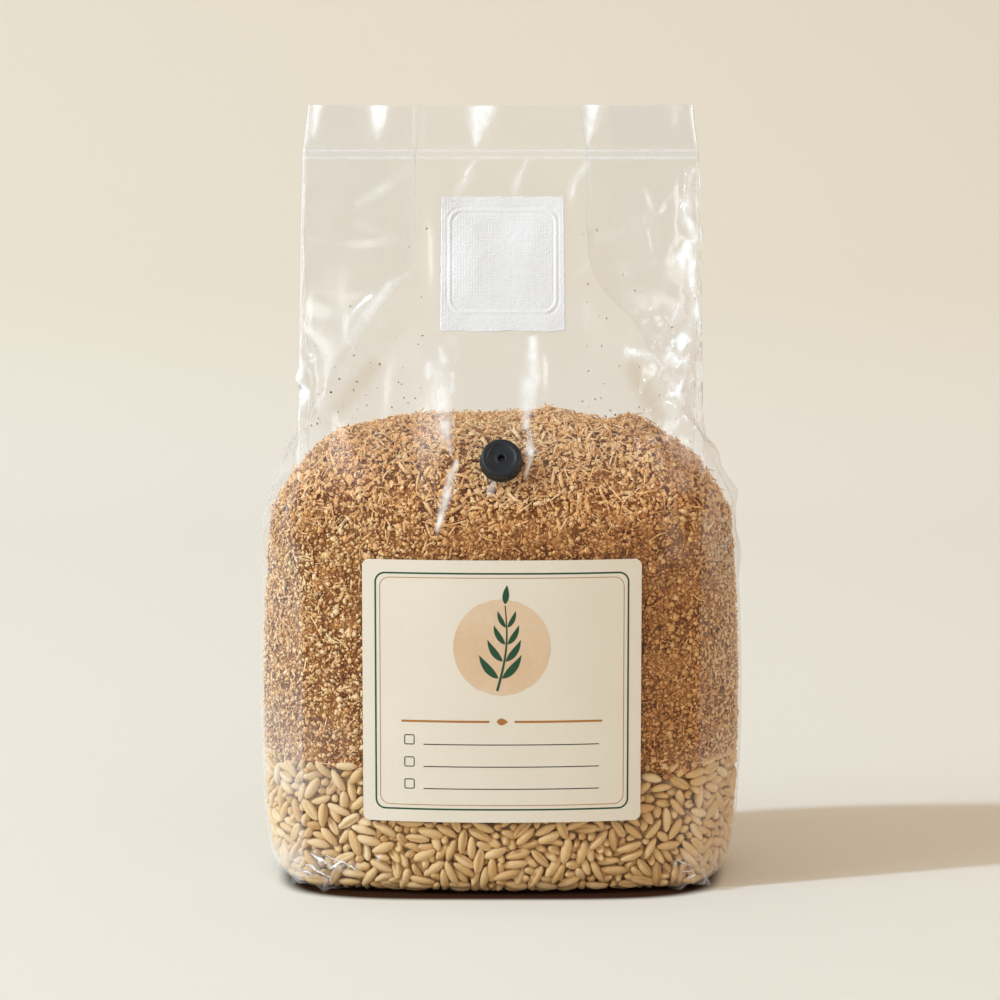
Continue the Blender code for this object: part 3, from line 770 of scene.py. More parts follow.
def bendFlap(points, y, up):
    # the layers meet at the weld, and the flap above it sways open
    low, high = bagForm["sealLow"], bagForm["sealHigh"]
    points[..., 1] *= 1 - filmSettings["weldTight"] * np.exp(-((up - 0.5 * (low + high)) / 2.6) ** 4)
    lift = np.clip((up - high) / (bagForm["height"] - high), 0, 1)
    across = points[..., 0]
    sway = 0.088 * across + 0.5 * np.sin(across / 11)
    for place, deep, wide in filmSettings["flapFolds"]:
        sway = sway - deep * np.tanh((across - place) / wide)
    points[..., 1] += lift ** 0.75 * sway + lift * 2.6
    points[..., 1] += np.sign(y) * lift * (0.5 + 0.9 * np.cos(across / 13 + 0.4))
    points[..., 2] += lift * 0.25 * waves(across, y * 0, 14, 201)


def earCrush(x, y, z):
    # crushed ears at the bottom corners
    near = smoothStep(42, 54, np.abs(x)) * smoothStep(18, 31, np.abs(y)) * between((0.2, 2.0), (9, 21), z)
    crushed = crumple(x + y * 0.6, z * 1.3, 4.2, 0.95, 301, 12)
    crushed += 0.5 * crumple(y + x * 0.4, z, 2.6, 0.9, 331, 12)
    return np.maximum(crushed + 0.2, -0.1) * near * filmSettings["earCrush"]


def makeFilm(material, glintStripMaterial):
    lowest, foldClear = filmSettings["lowRow"], filmSettings["foldClear"]
    low, high = bagForm["sealLow"], bagForm["sealHigh"]
    z = np.concatenate((
        [lowest, 0.5, 1.2, 2.2, 3.5, 5, 6.6],
        np.linspace(8, low - 1.2, filmSettings["rows"] - 14),
        np.linspace(low - 0.8, high + 0.8, 16),
        np.linspace(high + 1.5, bagForm["height"], 14),
    ))
    points, cut = filmColumns(z)
    normals = gridNormals(points)
    x, y, up = points[..., 0], points[..., 1], points[..., 2]
    front, right, back, left = (slice(cut[i], cut[i + 1]) for i in (0, 2, 4, 6))
    tips = [cut[i] for i in (1, 3, 5, 7)]
    points = points + normals * filmRelief(x, y, up, front, right, back, left)[..., None]
    bendFlap(points, y, up)
    points += normals * earCrush(x, y, up)[..., None]
    # what the material reads at each point: milkiness with its painted highlights, standing free, and the
    # painted brown reflection
    side, tip, paintedBrownReflection = np.zeros(x.shape), np.zeros(x.shape), np.zeros(x.shape)
    side[:, right] = side[:, left] = 1
    tip[:, tips] = 1
    free = smoothStep(126, 150, up) + 0 * x
    foldedIn, lying = smoothStep(144, 160, up[:, :1]), 1 - smoothStep(112, 132, up[:, :1])
    for part in (right, left):
        middle = (part.start + part.stop) // 2
        side[:, middle - 1:middle + 2] = 1 + filmSettings["foldHaze"] * foldedIn
        inner = slice(middle - 5, middle + 6)
        free[:, inner] = free[:, inner] * (1 - foldedIn) - foldClear * foldedIn
    for column in tips:
        near = slice(column - 1, column + 2)
        free[:, near] = free[:, near] * (1 - lying) - foldClear * lying
    haze = filmHaze(x, y, up, side, tip)
    xf, zf = x[:, front], up[:, front]
    # painted highlights: the white streaks join the milky tone of the front
    mottle = 0.82 + 0.3 * waves(xf, zf * 0.6, 1.7, 221)
    haze[:, front] = np.maximum(haze[:, front], streakTone(xf, zf, filmSettings["streaks"]) * mottle)
    paintedBrownReflection[:, front] = streakTone(xf, zf, filmSettings["paintedBrownReflections"])
    # a flat base, drawn in to the middle
    base = np.array([points[0] * (share, share, 1) for share in filmSettings["baseShares"][::-1]])
    flat = np.concatenate((base, points)).reshape(-1, 3)
    flat[:, 2] = np.maximum(flat[:, 2], lowest)
    rows, columns = len(base) + len(points), points.shape[1]
    faces = [gridFaces(rows, columns), fanFaces(np.arange(columns), len(flat), flip=True)]
    flat = np.concatenate((flat, [[0, 0, lowest]]))

    def onAll(values, plain):
        # the base and its middle are plain
        return np.concatenate((np.full(len(base) * columns, plain), values.ravel(), [plain]))

    tones = onAll(haze, filmSettings["clearHaze"])
    film = makePiece("clear_film", flat, faces, material, replaces=("film_bag",), tones=tones)
    setTone(film.data, "free", onAll(free, 0.0))
    setTone(film.data, "paintedBrownReflection", onAll(paintedBrownReflection, 0.0))
    makeGlintStrips(points[:, front], glintStripMaterial)


# Filling

fillSettings = {
    "grainTop": 41.3, "wallTop": 118.0, "moundRise": 32.4, "sidePower": 5.4, "frontPower": 3.3,
    # humps along the top of the mound: where across, how wide and how high
    "humps": [(18, 6, 2.0), (44, 5, 2.4), (34, 5, -1.2), (-44, 5, -0.8)], "humpDeep": 16,
}


def fillPoint(angle, z, gap):
    # a point on the inside of the film, a gap away from it
    corner, panel = tableAt(bagForm["corner"], z), tableAt(bagForm["panel"], z)
    swell = np.maximum(tableAt(bagForm["sideSwell"], z), 0)
    depth = panel - tableAt(bagForm["panelSwell"], z)
    x, y = np.cos(angle), np.sin(angle)
    lean = np.abs(x) * depth / np.maximum(np.abs(y) * corner, 1e-6)
    onFront = lean < 1
    t = 1 / np.maximum(lean, 1e-6)
    px = np.where(onFront, lean * corner, corner + swell * (1 - np.minimum(t, 1) ** 2))
    py = np.where(onFront, panel - (panel - depth) * np.minimum(lean, 1) ** 2, depth * np.minimum(t, 1))
    px = px * (1 - gap / (corner + swell))
    py = py * (1 - gap / panel)
    return np.stack((np.copysign(px, x), np.copysign(py, y), z + 0 * px), axis=-1)


def layerLine(x, y):
    return fillSettings["grainTop"] + 1.1 * np.sin(x / 15 + 0.6) + 0.8 * np.sin(y / 9 + x / 31)


def moundPoint(angle, share, gap):
    # a point on the sawdust's domed top
    s = fillSettings
    p = fillPoint(angle, s["wallTop"] + 0 * share, gap)
    x, y = p[..., 0] * share, p[..., 1] * share
    sideways = np.abs(x) / np.maximum(np.abs(x) + 2 * np.abs(y), 1e-6)
    power = s["frontPower"] + (s["sidePower"] - s["frontPower"]) * sideways
    lumps = 0.6 * np.sin(x / 9 + 1.3) * np.sin(y / 8) + 0.5 * np.sin(x / 5.5 - y / 7)
    lumps = lumps + 0.7 * waves(x, y, 7.5, 421) + 0.4 * waves(x, y, 3.5, 423)
    ridge = np.exp(-(y / s["humpDeep"]) ** 2)
    for place, wide, rise in s["humps"]:
        lumps = lumps + rise * np.exp(-((x - place) / wide) ** 2) * ridge
    rise = s["moundRise"] * (1 - share ** power) + lumps * (1 - share ** 3)
    return np.stack((x, y, s["wallTop"] + rise), axis=-1)


def surfaceFrames(make, a, b, stepA, stepB):
    # two tangents and the outward normal of a surface given by a function of two numbers
    first = unit(make(a + stepA, b) - make(a - stepA, b))
    normal = unit(np.cross(first, unit(make(a, b + stepB) - make(a, b - stepB))))
    return first, np.cross(normal, first), normal


def spreadAngles(count, rng, z=80.0, steps=4000):
    # angles that give even steps along the bag's outline
    angles = np.linspace(0, tau, steps + 1)
    ring = fillPoint(angles, np.full(steps + 1, z), 1.0)
    length = np.concatenate(([0], np.cumsum(np.linalg.norm(np.diff(ring, axis=0), axis=1))))
    return np.interp(rng.uniform(0, length[-1], count), length, angles)


def wallSpots(count, heights, gaps, rng):
    angle, z = spreadAngles(count, rng), rng.uniform(*heights, count)
    gap = rng.uniform(*gaps, count)
    place = fillPoint(angle, z, gap)
    return place, surfaceFrames(lambda a, h: fillPoint(a, h, gap), angle, z, 0.01, 0.5)


def moundSpots(count, gap, lowShare, lifts, rng):
    # spots on the dome, with some more near its foot, their axes and how far each is lifted off it
    angle = spreadAngles(count, rng)
    share = np.sqrt(rng.uniform(lowShare ** 2, 1, count)) * 0.995
    share = np.where(rng.uniform(size=count) < 0.35, 1 - (1 - share) * rng.uniform(0.2, 1, count), share)
    place = moundPoint(angle, share, gap)
    axes = surfaceFrames(lambda a, s: moundPoint(a, s, gap), angle, share, 0.01, -0.004)
    return place, axes, rng.uniform(*lifts, count)


def turnFrames(axes, tilt, rng):
    # the tangents turned at random about the normal, then tipped by up to a tilt
    first, second, normal = axes
    count = len(first)
    turn = rng.uniform(0, tau, count)[:, None]
    along = first * np.cos(turn) + second * np.sin(turn)
    along = unit(along + normal * rng.uniform(-tilt, tilt, count)[:, None])
    side = unit(np.cross(normal, along) + normal * rng.uniform(-tilt, tilt, count)[:, None])
    side = unit(side - along * (side * along).sum(axis=1)[:, None])
    return np.stack((along, side, np.cross(along, side)), axis=1)


sawdustSettings = {
    "bedColumns": 320, "bedRows": 52, "bedDomeRows": 34, "bedGap": 1.7, "bedRough": 0.7, "bedDrop": 0.8,
    "wallCrumbs": {
        "count": 29500, "heights": (37.5, 124), "gaps": (0.95, 2.3), "sink": 1.3, "top": 119.5, "over": 2.2,
        "length": (0.18, 0.4), "limits": (0.7, 3.4), "wide": (0.55, 0.95), "thick": (0.5, 1.1), "grow": 1.12,
        "tone": (0.58, 0.12), "tilt": 0.35,
    },
    "domeCrumbs": {
        "count": 10800, "gap": 1.3, "lift": (-0.6, 0.7),
        "length": (0.56, 0.36), "limits": (0.8, 3.4), "wide": (0.45, 0.9), "thick": (0.6, 1.4), "grow": 1.0,
        "tone": (0.58, 0.09), "tilt": 0.9,
    },
    "seam": (117, 129),         # between these heights the dome turns from fine and flat to coarse and loose
    "splinters": {
        "onWall": 2000, "heights": (37, 121), "gaps": (0.9, 1.9), "sink": 1.6, "wallTilt": 0.16,
        "onDome": 1500, "gap": 1.4, "lift": (-0.2, 1.5), "domeTilt": 0.75,
        "wallLength": (1.6, 4.2), "domeLength": (2.2, 6.0), "wide": (0.22, 0.65), "thick": (0.2, 0.45),
        "tone": (0.64, 0.12),
    },
    "shavings": {
        "onWall": 72, "heights": (60, 121), "gaps": (1.0, 1.5), "wallTilt": 0.15,
        "onDome": 258, "gap": 1.5, "lift": (0.1, 1.3), "leastShare": 0.25, "domeTilt": 0.8,
        "wallRadius": (3, 9), "domeRadius": (1.6, 4.5), "wallSweep": (0.5, 1.2), "domeSweep": (1.2, 4.2),
        "wide": (0.5, 1.5), "wallWide": 0.7, "thick": (0.14, 0.26), "steps": 9, "tone": (0.62, 0.09),
    },
    "specks": {
        "count": 170, "left": (-62, -24), "right": (24, 63), "leftShare": 0.55, "frontShare": 0.75,
        "low": 138, "rise": 20, "most": 74, "off": 0.6,
        "length": (0.35, 1.0), "wide": (0.4, 0.9), "thick": (0.2, 0.4), "tone": (0.14, 0.16), "seed": 77,
    },
    "stops": [
        (0.0, (0.07, 0.018, 0.003)), (0.2, (0.26, 0.09, 0.021)), (0.45, (0.68, 0.32, 0.106)),
        (0.7, (0.90, 0.52, 0.215)), (1.0, (0.97, 0.71, 0.41)),
    ],
    # painted light and shade: how much paler the chips are from left to right, on the wall and on the dome
    "toneAcross": [-75, -50, -20, 0, 45, 60, 75],
    "wallPaintedLight": [0.24, 0.31, 0.05, -0.06, -0.16, -0.05, 0.4],
    "domePaintedLight": [0.17, 0.14, 0.17, 0.29, 0.18, 0.13, 0.23],
    "seed": 21,
}

crumb = (
    np.array([(0.5, 0, 0), (-0.5, 0, 0), (0, 0.5, 0), (0, -0.5, 0), (0, 0, 0.5), (0, 0, -0.5)]),
    [[(0, 2, 4), (2, 1, 4), (1, 3, 4), (3, 0, 4), (2, 0, 5), (1, 2, 5), (3, 1, 5), (0, 3, 5)]],
)
splinter = (
    np.array([
        (-0.5, -0.2, -0.3), (-0.42, 0.45, -0.3), (-0.46, 0.3, 0.35), (-0.4, -0.4, 0.3),
        (0.44, -0.35, -0.3), (0.5, 0.2, -0.35), (0.42, 0.4, 0.3), (0.36, -0.2, 0.4),
    ]),
    [[(0, 4, 5, 1), (1, 5, 6, 2), (2, 6, 7, 3), (3, 7, 4, 0), (0, 1, 2, 3), (4, 7, 6, 5)]],
)


def makeSawdustBed(material):
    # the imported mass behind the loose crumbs
    settings = sawdustSettings
    angle = np.linspace(0, tau, settings["bedColumns"], endpoint=False)[None]
    gap = settings["bedGap"]
    low = layerLine(*np.moveaxis(fillPoint(angle, np.full_like(angle, 41.0), gap), -1, 0)[:2]) - 1.0
    heights = low + (fillSettings["wallTop"] - low) * np.linspace(0, 1, settings["bedRows"])[:, None]
    wall = fillPoint(angle + 0 * heights, heights, gap)
    share = np.cos(np.linspace(0, math.pi / 2 * 0.99, settings["bedDomeRows"] + 1)[1:, None])
    dome = moundPoint(angle + 0 * share, share + 0 * angle, gap)
    dome[..., 2] -= settings["bedDrop"] * (1 - share ** 8)
    core = [wall[0] * (s, s, 1) for s in (0.3, 0.7)]
    points = np.concatenate((np.array(core), wall, dome))
    u, v = points[..., 0] + points[..., 1] * 0.7, points[..., 2] + points[..., 1] * 0.5
    rough = settings["bedRough"] * (0.6 * waves(u, v, 5, 401) + 0.4 * waves(u, v, 2.1, 403))
    points = points + gridNormals(points) * np.minimum(rough, 0.5)[..., None]
    flat = np.concatenate((points.reshape(-1, 3), [points[0].mean(axis=0), points[-1].mean(axis=0)]))
    tones = 0.47 + 0.12 * waves(flat[:, 0] + flat[:, 1], flat[:, 2], 4.0, 405)
    faces = tubeFaces(*points.shape[:2])
    makePiece("sawdust_bed", flat, faces, material, replaces=("sawdust_block",), tones=tones)


def chipTones(place, rng, middle, spread):
    # painted light and shade: paler to the left and on the dome, deeper to the right
    across = sawdustSettings["toneAcross"]
    wall = np.interp(place[:, 0], across, sawdustSettings["wallPaintedLight"])
    dome = np.interp(place[:, 0], across, sawdustSettings["domePaintedLight"])
    shift = wall + (dome - wall) * smoothStep(112, 132, place[:, 2])
    return np.clip(rng.normal(middle, spread, len(place)) + shift, 0.02, 1)


def chipSizes(length, kind, rng):
    wide, thick = (rng.uniform(*kind[key], len(length)) for key in ("wide", "thick"))
    return np.stack((length, length * wide, thick), axis=1)


def crumbChips(kind, place, axes, shrink, rng):
    # one crumb at each place, as places, frames, sizes and tones
    length = rng.lognormal(*kind["length"], len(place)).clip(*kind["limits"]) * shrink
    sizes = chipSizes(length, kind, rng) * kind["grow"]
    tones = chipTones(place, rng, *kind["tone"])
    return place, turnFrames(axes, kind["tilt"], rng), sizes, tones


def aboveGrain(kind, place, axes, rng):
    # keeps what lies over the grain, a few of them sunk into it, and under a ragged top where there is one
    keep = place[:, 2] > layerLine(place[:, 0], place[:, 1]) - rng.exponential(kind["sink"], len(place))
    if "top" in kind:
        keep &= place[:, 2] < kind["top"] + rng.exponential(kind["over"], len(place))
    return place[keep], [a[keep] for a in axes]


def onEither(flat, kind, name, rng):
    # a random size from the wall's range or the dome's
    wall, dome = (rng.uniform(*kind[side + name], len(flat)) for side in ("wall", "dome"))
    return np.where(flat, wall, dome)


def onBoth(kind, wallPlace, wallAxes, rng):
    # adds places on the dome to those on the wall, and turns all of them at random
    leastShare = kind.get("leastShare", 0.0)
    place, axes, lift = moundSpots(kind["onDome"], kind["gap"], leastShare, kind["lift"], rng)
    place += axes[2] * lift[:, None]
    frames = [turnFrames(wallAxes, kind["wallTilt"], rng), turnFrames(axes, kind["domeTilt"], rng)]
    flat = np.arange(len(wallPlace) + len(place)) < len(wallPlace)
    return np.concatenate((wallPlace, place)), np.concatenate(frames), flat


def makeSawdust(material, packed):
    rng = np.random.default_rng(sawdustSettings["seed"])
    makeSawdustBed(packed)
    # crumbs pressed against the film
    kind = sawdustSettings["wallCrumbs"]
    place, axes = wallSpots(kind["count"], kind["heights"], kind["gaps"], rng)
    place, axes = aboveGrain(kind, place, axes, rng)
    chips = crumbChips(kind, place, axes, 1, rng)
    for side, chosen in (("front", place[:, 1] < 0), ("back", place[:, 1] >= 0)):
        picked = [values[chosen] for values in chips]
        scatter("sawdust_crumbs_" + side, crumb, picked, material, 31, 0.13, smooth=True)
    # loose ones on the dome
    kind = sawdustSettings["domeCrumbs"]
    place, axes, lift = moundSpots(kind["count"], kind["gap"], 0.0, kind["lift"], rng)
    loose = smoothStep(*sawdustSettings["seam"], place[:, 2])
    place += axes[2] * (lift * (0.4 + 0.6 * loose) - 0.25 * (1 - loose))[:, None]
    chips = crumbChips(kind, place, axes, 0.76 + 0.24 * loose, rng)
    scatter("sawdust_top_crumbs", crumb, chips, material, 33, 0.15)
    # splinters, flat on the wall and every way on the dome
    kind = sawdustSettings["splinters"]
    place, axes = wallSpots(kind["onWall"], kind["heights"], kind["gaps"], rng)
    place, frames, flat = onBoth(kind, *aboveGrain(kind, place, axes, rng), rng)
    length = onEither(flat, kind, "Length", rng)
    wide, thick = (rng.uniform(*kind[key], len(flat)) for key in ("wide", "thick"))
    sizes = np.stack((length, wide, thick), axis=1)
    tones = chipTones(place, rng, *kind["tone"])
    scatter("sawdust_splinters", splinter, (place, frames, sizes, tones), material, 35, 0.06)
    makeShavings(material, rng)


def makeShavings(material, rng):
    # thin curled ribbons, most of them on the dome
    kind = sawdustSettings["shavings"]
    steps = kind["steps"]
    place, axes = wallSpots(kind["onWall"], kind["heights"], kind["gaps"], rng)
    place, frames, flat = onBoth(kind, place, axes, rng)
    count = len(place)
    radius, sweep = onEither(flat, kind, "Radius", rng), onEither(flat, kind, "Sweep", rng)
    width = rng.uniform(*kind["wide"], count) * np.where(flat, kind["wallWide"], 1)
    thick = rng.uniform(*kind["thick"], count)
    turn = (np.linspace(-0.5, 0.5, steps)[None] * sweep[:, None])[..., None]
    squeeze = np.sin(np.linspace(0.25, math.pi - 0.25, steps))[None, :, None] ** 0.4
    radius, width, thick, onWall = (values[:, None, None] for values in (radius, width, thick, flat))
    sections = []
    for side, face in ((-0.5, -0.5), (0.5, -0.5), (0.5, 0.5), (-0.5, 0.5)):
        across, off = side * width * squeeze, face * thick
        # flat ones curl in the plane of the wall, the others roll up out of it
        r = radius + off
        rolled = np.concatenate((r * np.sin(turn), across, off - r * (1 - np.cos(turn))), axis=2)
        r = radius + across
        lying = np.concatenate((r * np.sin(turn), r * np.cos(turn) - radius, off + 0 * turn), axis=2)
        sections.append(np.where(onWall, lying, rolled))
    shapes = np.stack(sections, axis=2).reshape(count, steps * 4, 3)
    points = placeShapes(shapes, place, frames).reshape(-1, 3)
    last = steps * 4 - 4
    ends = [(3, 2, 1, 0), (last, last + 1, last + 2, last + 3)]
    faces = repeatFaces([np.concatenate((gridFaces(steps, 4), ends))], count, steps * 4)
    tones = np.repeat(chipTones(place, rng, *kind["tone"]), steps * 4)
    makePiece("sawdust_shavings", points, faces, material, tones=tones)


def makeSpecks(material):
    # specks of sawdust that cling inside the empty part of the film
    kind = sawdustSettings["specks"]
    rng = np.random.default_rng(kind["seed"])
    count = kind["count"]
    x = np.where(
        rng.uniform(size=count) < kind["leftShare"],
        rng.uniform(*kind["left"], count), rng.uniform(*kind["right"], count),
    )
    z = kind["low"] + rng.exponential(kind["rise"], count).clip(0, kind["most"])
    side = np.where(rng.uniform(size=count) < kind["frontShare"], -1, 1)
    place = np.stack((x, side * (panelDepth(x, z) - kind["off"]), z), axis=1)
    axes = [np.tile((1.0, 0, 0), (count, 1)), np.tile((0, 0, 1.0), (count, 1)), side[:, None] * (0, 1.0, 0)]
    sizes = chipSizes(rng.uniform(*kind["length"], count), kind, rng)
    frames = turnFrames(axes, 0.3, rng)
    chips = (place, frames, sizes, chipTones(place, rng, *kind["tone"]))
    scatter("sawdust_specks", crumb, chips, material, 41, 0.1)


# Grain

grainSettings = {
    "count": 2000, "length": 8.5, "width": 3.3, "thick": 3.05,
    "ballRadius": 1.62, "reach": 2.5,               # each kernel settles as a rod of three balls
    "shell": 8.4, "top": 41.5, "wallGap": 0.45, "steps": 230, "pairsEach": 8, "pairReach": 1.6,
    "push": 0.32, "hold": 0.9, "stray": 0.3, "drift": 0.03, "sink": 0.01, "topHold": 0.5,
    "around": 12, "rings": 6, "crease": 0.42, "leastGap": 0.42,
    "stops": [
        (0.0, (0.10, 0.038, 0.010)), (0.22, (0.32, 0.152, 0.05)), (0.5, (0.63, 0.385, 0.155)),
        (0.78, (0.745, 0.505, 0.245)), (1.0, (0.85, 0.655, 0.415)),
    ],
    "tone": (0.53, 0.09),
    # painted light and shade across the front, at these places
    "toneAcross": [-75, -45, -20, 20, 45, 75], "paintedLightShift": [0.2, 0.17, 0.05, 0.0, 0.09, 0.14],
    "coreGap": 5.0, "coreHeights": (4.5, 39), "corePaintedBounce": 0.8,
    "seed": 7,
}


def wallClearance(p):
    # gaps from points to the front or back film and to the side film, with the ways out to them
    x, y, z = p[:, 0], p[:, 1], p[:, 2]
    corner, panel = tableAt(bagForm["corner"], z), tableAt(bagForm["panel"], z)
    bow, side = tableAt(bagForm["panelSwell"], z), tableAt(bagForm["sideSwell"], z)
    depth = panel - bow
    toFront = np.stack((2 * bow * x / corner ** 2, np.sign(y), 0 * x), axis=1)
    toSide = np.stack((np.sign(x), 2 * side * y / depth ** 2, 0 * x), axis=1)
    frontLength, sideLength = np.linalg.norm(toFront, axis=1), np.linalg.norm(toSide, axis=1)
    front = (panel - bow * (x / corner) ** 2 - np.abs(y)) / frontLength
    aside = (corner + side * (1 - (y / depth) ** 2) - np.abs(x)) / sideLength
    return front, toFront / frontLength[:, None], aside, toSide / sideLength[:, None]


def nearPairs(points, owner, reach):
    # pairs of points of different owners that lie within a box of that reach
    order = np.argsort(points[:, 0], kind="stable")
    xs = points[order, 0]
    last = np.searchsorted(xs, xs + reach)
    number = last - np.arange(len(points)) - 1
    first = np.repeat(np.arange(len(points)), number)
    second = first + 1 + np.arange(len(first)) - np.repeat(np.cumsum(number) - number, number)
    a, b = order[first], order[second]
    gap = np.abs(points[a] - points[b])
    near = (owner[a] != owner[b]) & (gap[:, 1] < reach) & (gap[:, 2] < reach)
    return a[near], b[near]


def rodBalls(middle, way):
    return middle[:, None] + way[:, None] * np.array((-1, 0, 1))[None, :, None] * grainSettings["reach"]


def packGrains():
    # the rods settle against the film and push each other apart
    g = grainSettings
    rng = np.random.default_rng(g["seed"])
    start = np.empty((0, 3))
    while len(start) < g["count"]:
        tried = rng.uniform((-78, -40, 2), (78, 40, g["top"]), (4000, 3))
        front, _, aside, _ = wallClearance(tried)
        gap = np.minimum(front, aside)
        start = np.concatenate((start, tried[(gap > 2) & ((gap < g["shell"]) | (tried[:, 2] < 5.5))]))
    middle = start[:g["count"]]
    ends = rodBalls(middle, unit(rng.normal(size=middle.shape) * (1, 1, 0.55)))
    owner = np.repeat(np.arange(g["count"]), 3)
    radius = g["ballRadius"]
    for step in range(g["steps"]):
        balls = ends.reshape(-1, 3)
        if step % g["pairsEach"] == 0:
            a, b = nearPairs(balls, owner, 2 * radius + g["pairReach"])
        apart = balls[b] - balls[a]
        distance = np.linalg.norm(apart, axis=1)
        hit = distance < 2 * radius
        push = apart[hit] / distance[hit, None] * (2 * radius - distance[hit, None]) * g["push"]
        move = np.zeros_like(balls)
        for k in range(3):
            gained, lost = (np.bincount(side[hit], push[:, k], len(balls)) for side in (b, a))
            move[:, k] = gained - lost
        front, toFront, aside, toSide = wallClearance(balls)
        for gap, way in ((front, toFront), (aside, toSide)):
            move -= way * (np.maximum(radius + g["wallGap"] - gap, 0) * g["hold"])[:, None]
        near = np.minimum(front, aside)
        way = np.where((front < aside)[:, None], toFront, toSide)
        stray = (near > g["shell"] - 2) & (balls[:, 2] > 5)
        pull = np.where(stray, np.minimum(near - g["shell"] + 2, 1) * g["stray"], 0)
        pull = pull + np.where(near < g["shell"], g["drift"], 0)
        move += way * pull[:, None]
        # they stand higher beside the film, whose foot draws in
        lowest = radius + g["wallGap"] + 0.8 * np.maximum(3.4 - near, 0)
        above = np.maximum(balls[:, 2] - g["top"], 0)
        move[:, 2] += np.maximum(lowest - balls[:, 2], 0) * g["hold"] - above * g["topHold"] - g["sink"]
        ends = (balls + np.clip(move, -1, 1)).reshape(-1, 3, 3)
        middle, way = ends.mean(axis=1), unit(ends[:, 2] - ends[:, 0])
        ends = rodBalls(middle, way)
    return middle, way


def grainShape():
    # one creased kernel, longer than wide, blunt at the germ end
    g = grainSettings
    turn = np.linspace(0, tau, g["around"], endpoint=False)
    turn = turn + 0.33 * np.sin(turn)          # more sides near the crease at turn = pi
    along = -np.cos(np.linspace(0, math.pi, g["rings"] + 2)[1:-1]) * 0.97
    radius = (1 - np.abs(along) ** 2.1) ** 0.6 * (1 + 0.07 * along)
    crease = 1 - g["crease"] * np.exp(-((turn - math.pi) / 0.3) ** 2)[None] * (1 - along ** 4)[:, None]
    rings = np.stack((
        np.repeat(along[:, None] * 0.5, g["around"], axis=1),
        radius[:, None] * np.sin(turn)[None] * 0.5 * np.ones_like(crease),
        radius[:, None] * np.cos(turn)[None] * 0.5 * crease + 0.05 * (1 - along ** 2)[:, None],
    ), axis=2)
    points = np.concatenate((rings.reshape(-1, 3), [(-0.5, 0, 0), (0.5, 0, 0)]))
    dip = np.concatenate(((crease < 0.8).astype(float).ravel() * 0.16, (0.24, 0.16)))
    return points, tubeFaces(g["rings"], g["around"]), dip


def makeGrains(material):
    g = grainSettings
    middle, way = packGrains()
    count = len(middle)
    rng = np.random.default_rng(g["seed"] + 1)
    front, toFront, aside, toSide = wallClearance(middle)
    outward = np.where((front < aside)[:, None], toFront, toSide)
    roll = rng.uniform(0, tau, count)[:, None]
    side = unit(np.cross(way, outward))
    across = side * np.cos(roll) + np.cross(side, way) * np.sin(roll)
    frames = np.stack((way, across, np.cross(way, across)), axis=1)
    scale = rng.normal(1, 0.055, count).clip(0.86, 1.12)
    length = g["length"] * scale * rng.normal(1, 0.05, count)
    sizes = np.stack((length, g["width"] * scale, g["thick"] * scale), axis=1)
    template, faces, dip = grainShape()
    # painted light and shade: kernels paler to the left and toward both sides
    paler = np.interp(middle[:, 0], g["toneAcross"], g["paintedLightShift"])
    tones = np.clip(rng.normal(*g["tone"], count) + paler, 0.1, 0.95)
    points = placeShapes(template[None] * sizes[:, None, :], middle, frames)
    gaps = wallClearance(points.reshape(-1, 3))
    gapNow = np.minimum(gaps[0], gaps[2]).reshape(points.shape[:2])
    deep = np.maximum(g["leastGap"] - gapNow, 0).max(axis=1)
    points -= (outward * deep[:, None])[:, None]
    points[..., 2] = np.maximum(points[..., 2], g["wallGap"])
    shade = tones[:, None] - dip[None]
    for name, chosen, stands in (
        ("grain_front", middle[:, 1] < 0, ("grain_layer",)), ("grain_back", middle[:, 1] >= 0, ()),
    ):
        joined = repeatFaces(faces, int(chosen.sum()), len(template))
        flat, tones = points[chosen].reshape(-1, 3), shade[chosen].ravel()
        makePiece(name, flat, joined, material, replaces=stands, tones=tones)


def makeGrainCore(material):
    # what fills the dark between the kernels, well behind the film; it is paler than they are, a painted
    # bounce light in those gaps
    g = grainSettings
    low, high = g["coreHeights"]
    angle = np.linspace(0, tau, 120, endpoint=False)[None]
    z = np.linspace(low, high, 12)[:, None]
    points = fillPoint(angle + 0 * z, z + 0 * angle, g["coreGap"])
    rings = np.concatenate(([points[0] * (0.5, 0.5, 1)], points, [points[-1] * (0.5, 0.5, 1)]))
    rough = waves(rings[..., 0] + rings[..., 1], rings[..., 2], 4, 501)
    rings = rings + gridNormals(rings) * rough[..., None]
    flat = np.concatenate((rings.reshape(-1, 3), [(0, 0, low), (0, 0, high)]))
    tones = np.full(len(flat), g["corePaintedBounce"])
    makePiece("grain_core", flat, tubeFaces(*rings.shape[:2]), material, tones=tones)


# Sheets on the front

patchSettings = {
    "x": 0.6, "z": 201.4, "width": 39.5, "height": 42.6, "flare": 0.72, "off": 0.5, "thick": 0.4,
    "padZ": 202.3, "padWidth": 34.2, "padHeight": 32.2, "padRadius": 4.0, "padRise": 0.35,
    "beadWide": 0.4, "beadHigh": 0.15, "grooveWide": 0.32, "grooveDeep": 0.16, "grooveOff": 0.85,
    "weave": 0.12, "weaveFine": 3.3, "rough": 0.05, "slack": 0.5, "raggedSide": 0.16, "raggedTop": 0.12,
    "columns": 128, "rows": 138,
}


def roundedDistance(u, v, width, height, radius):
    # distance outside a rounded rectangle, negative inside
    du, dv = np.abs(u) - width / 2 + radius, np.abs(v) - height / 2 + radius
    outside = np.hypot(np.maximum(du, 0), np.maximum(dv, 0))
    return outside + np.minimum(np.maximum(du, dv), 0) - radius


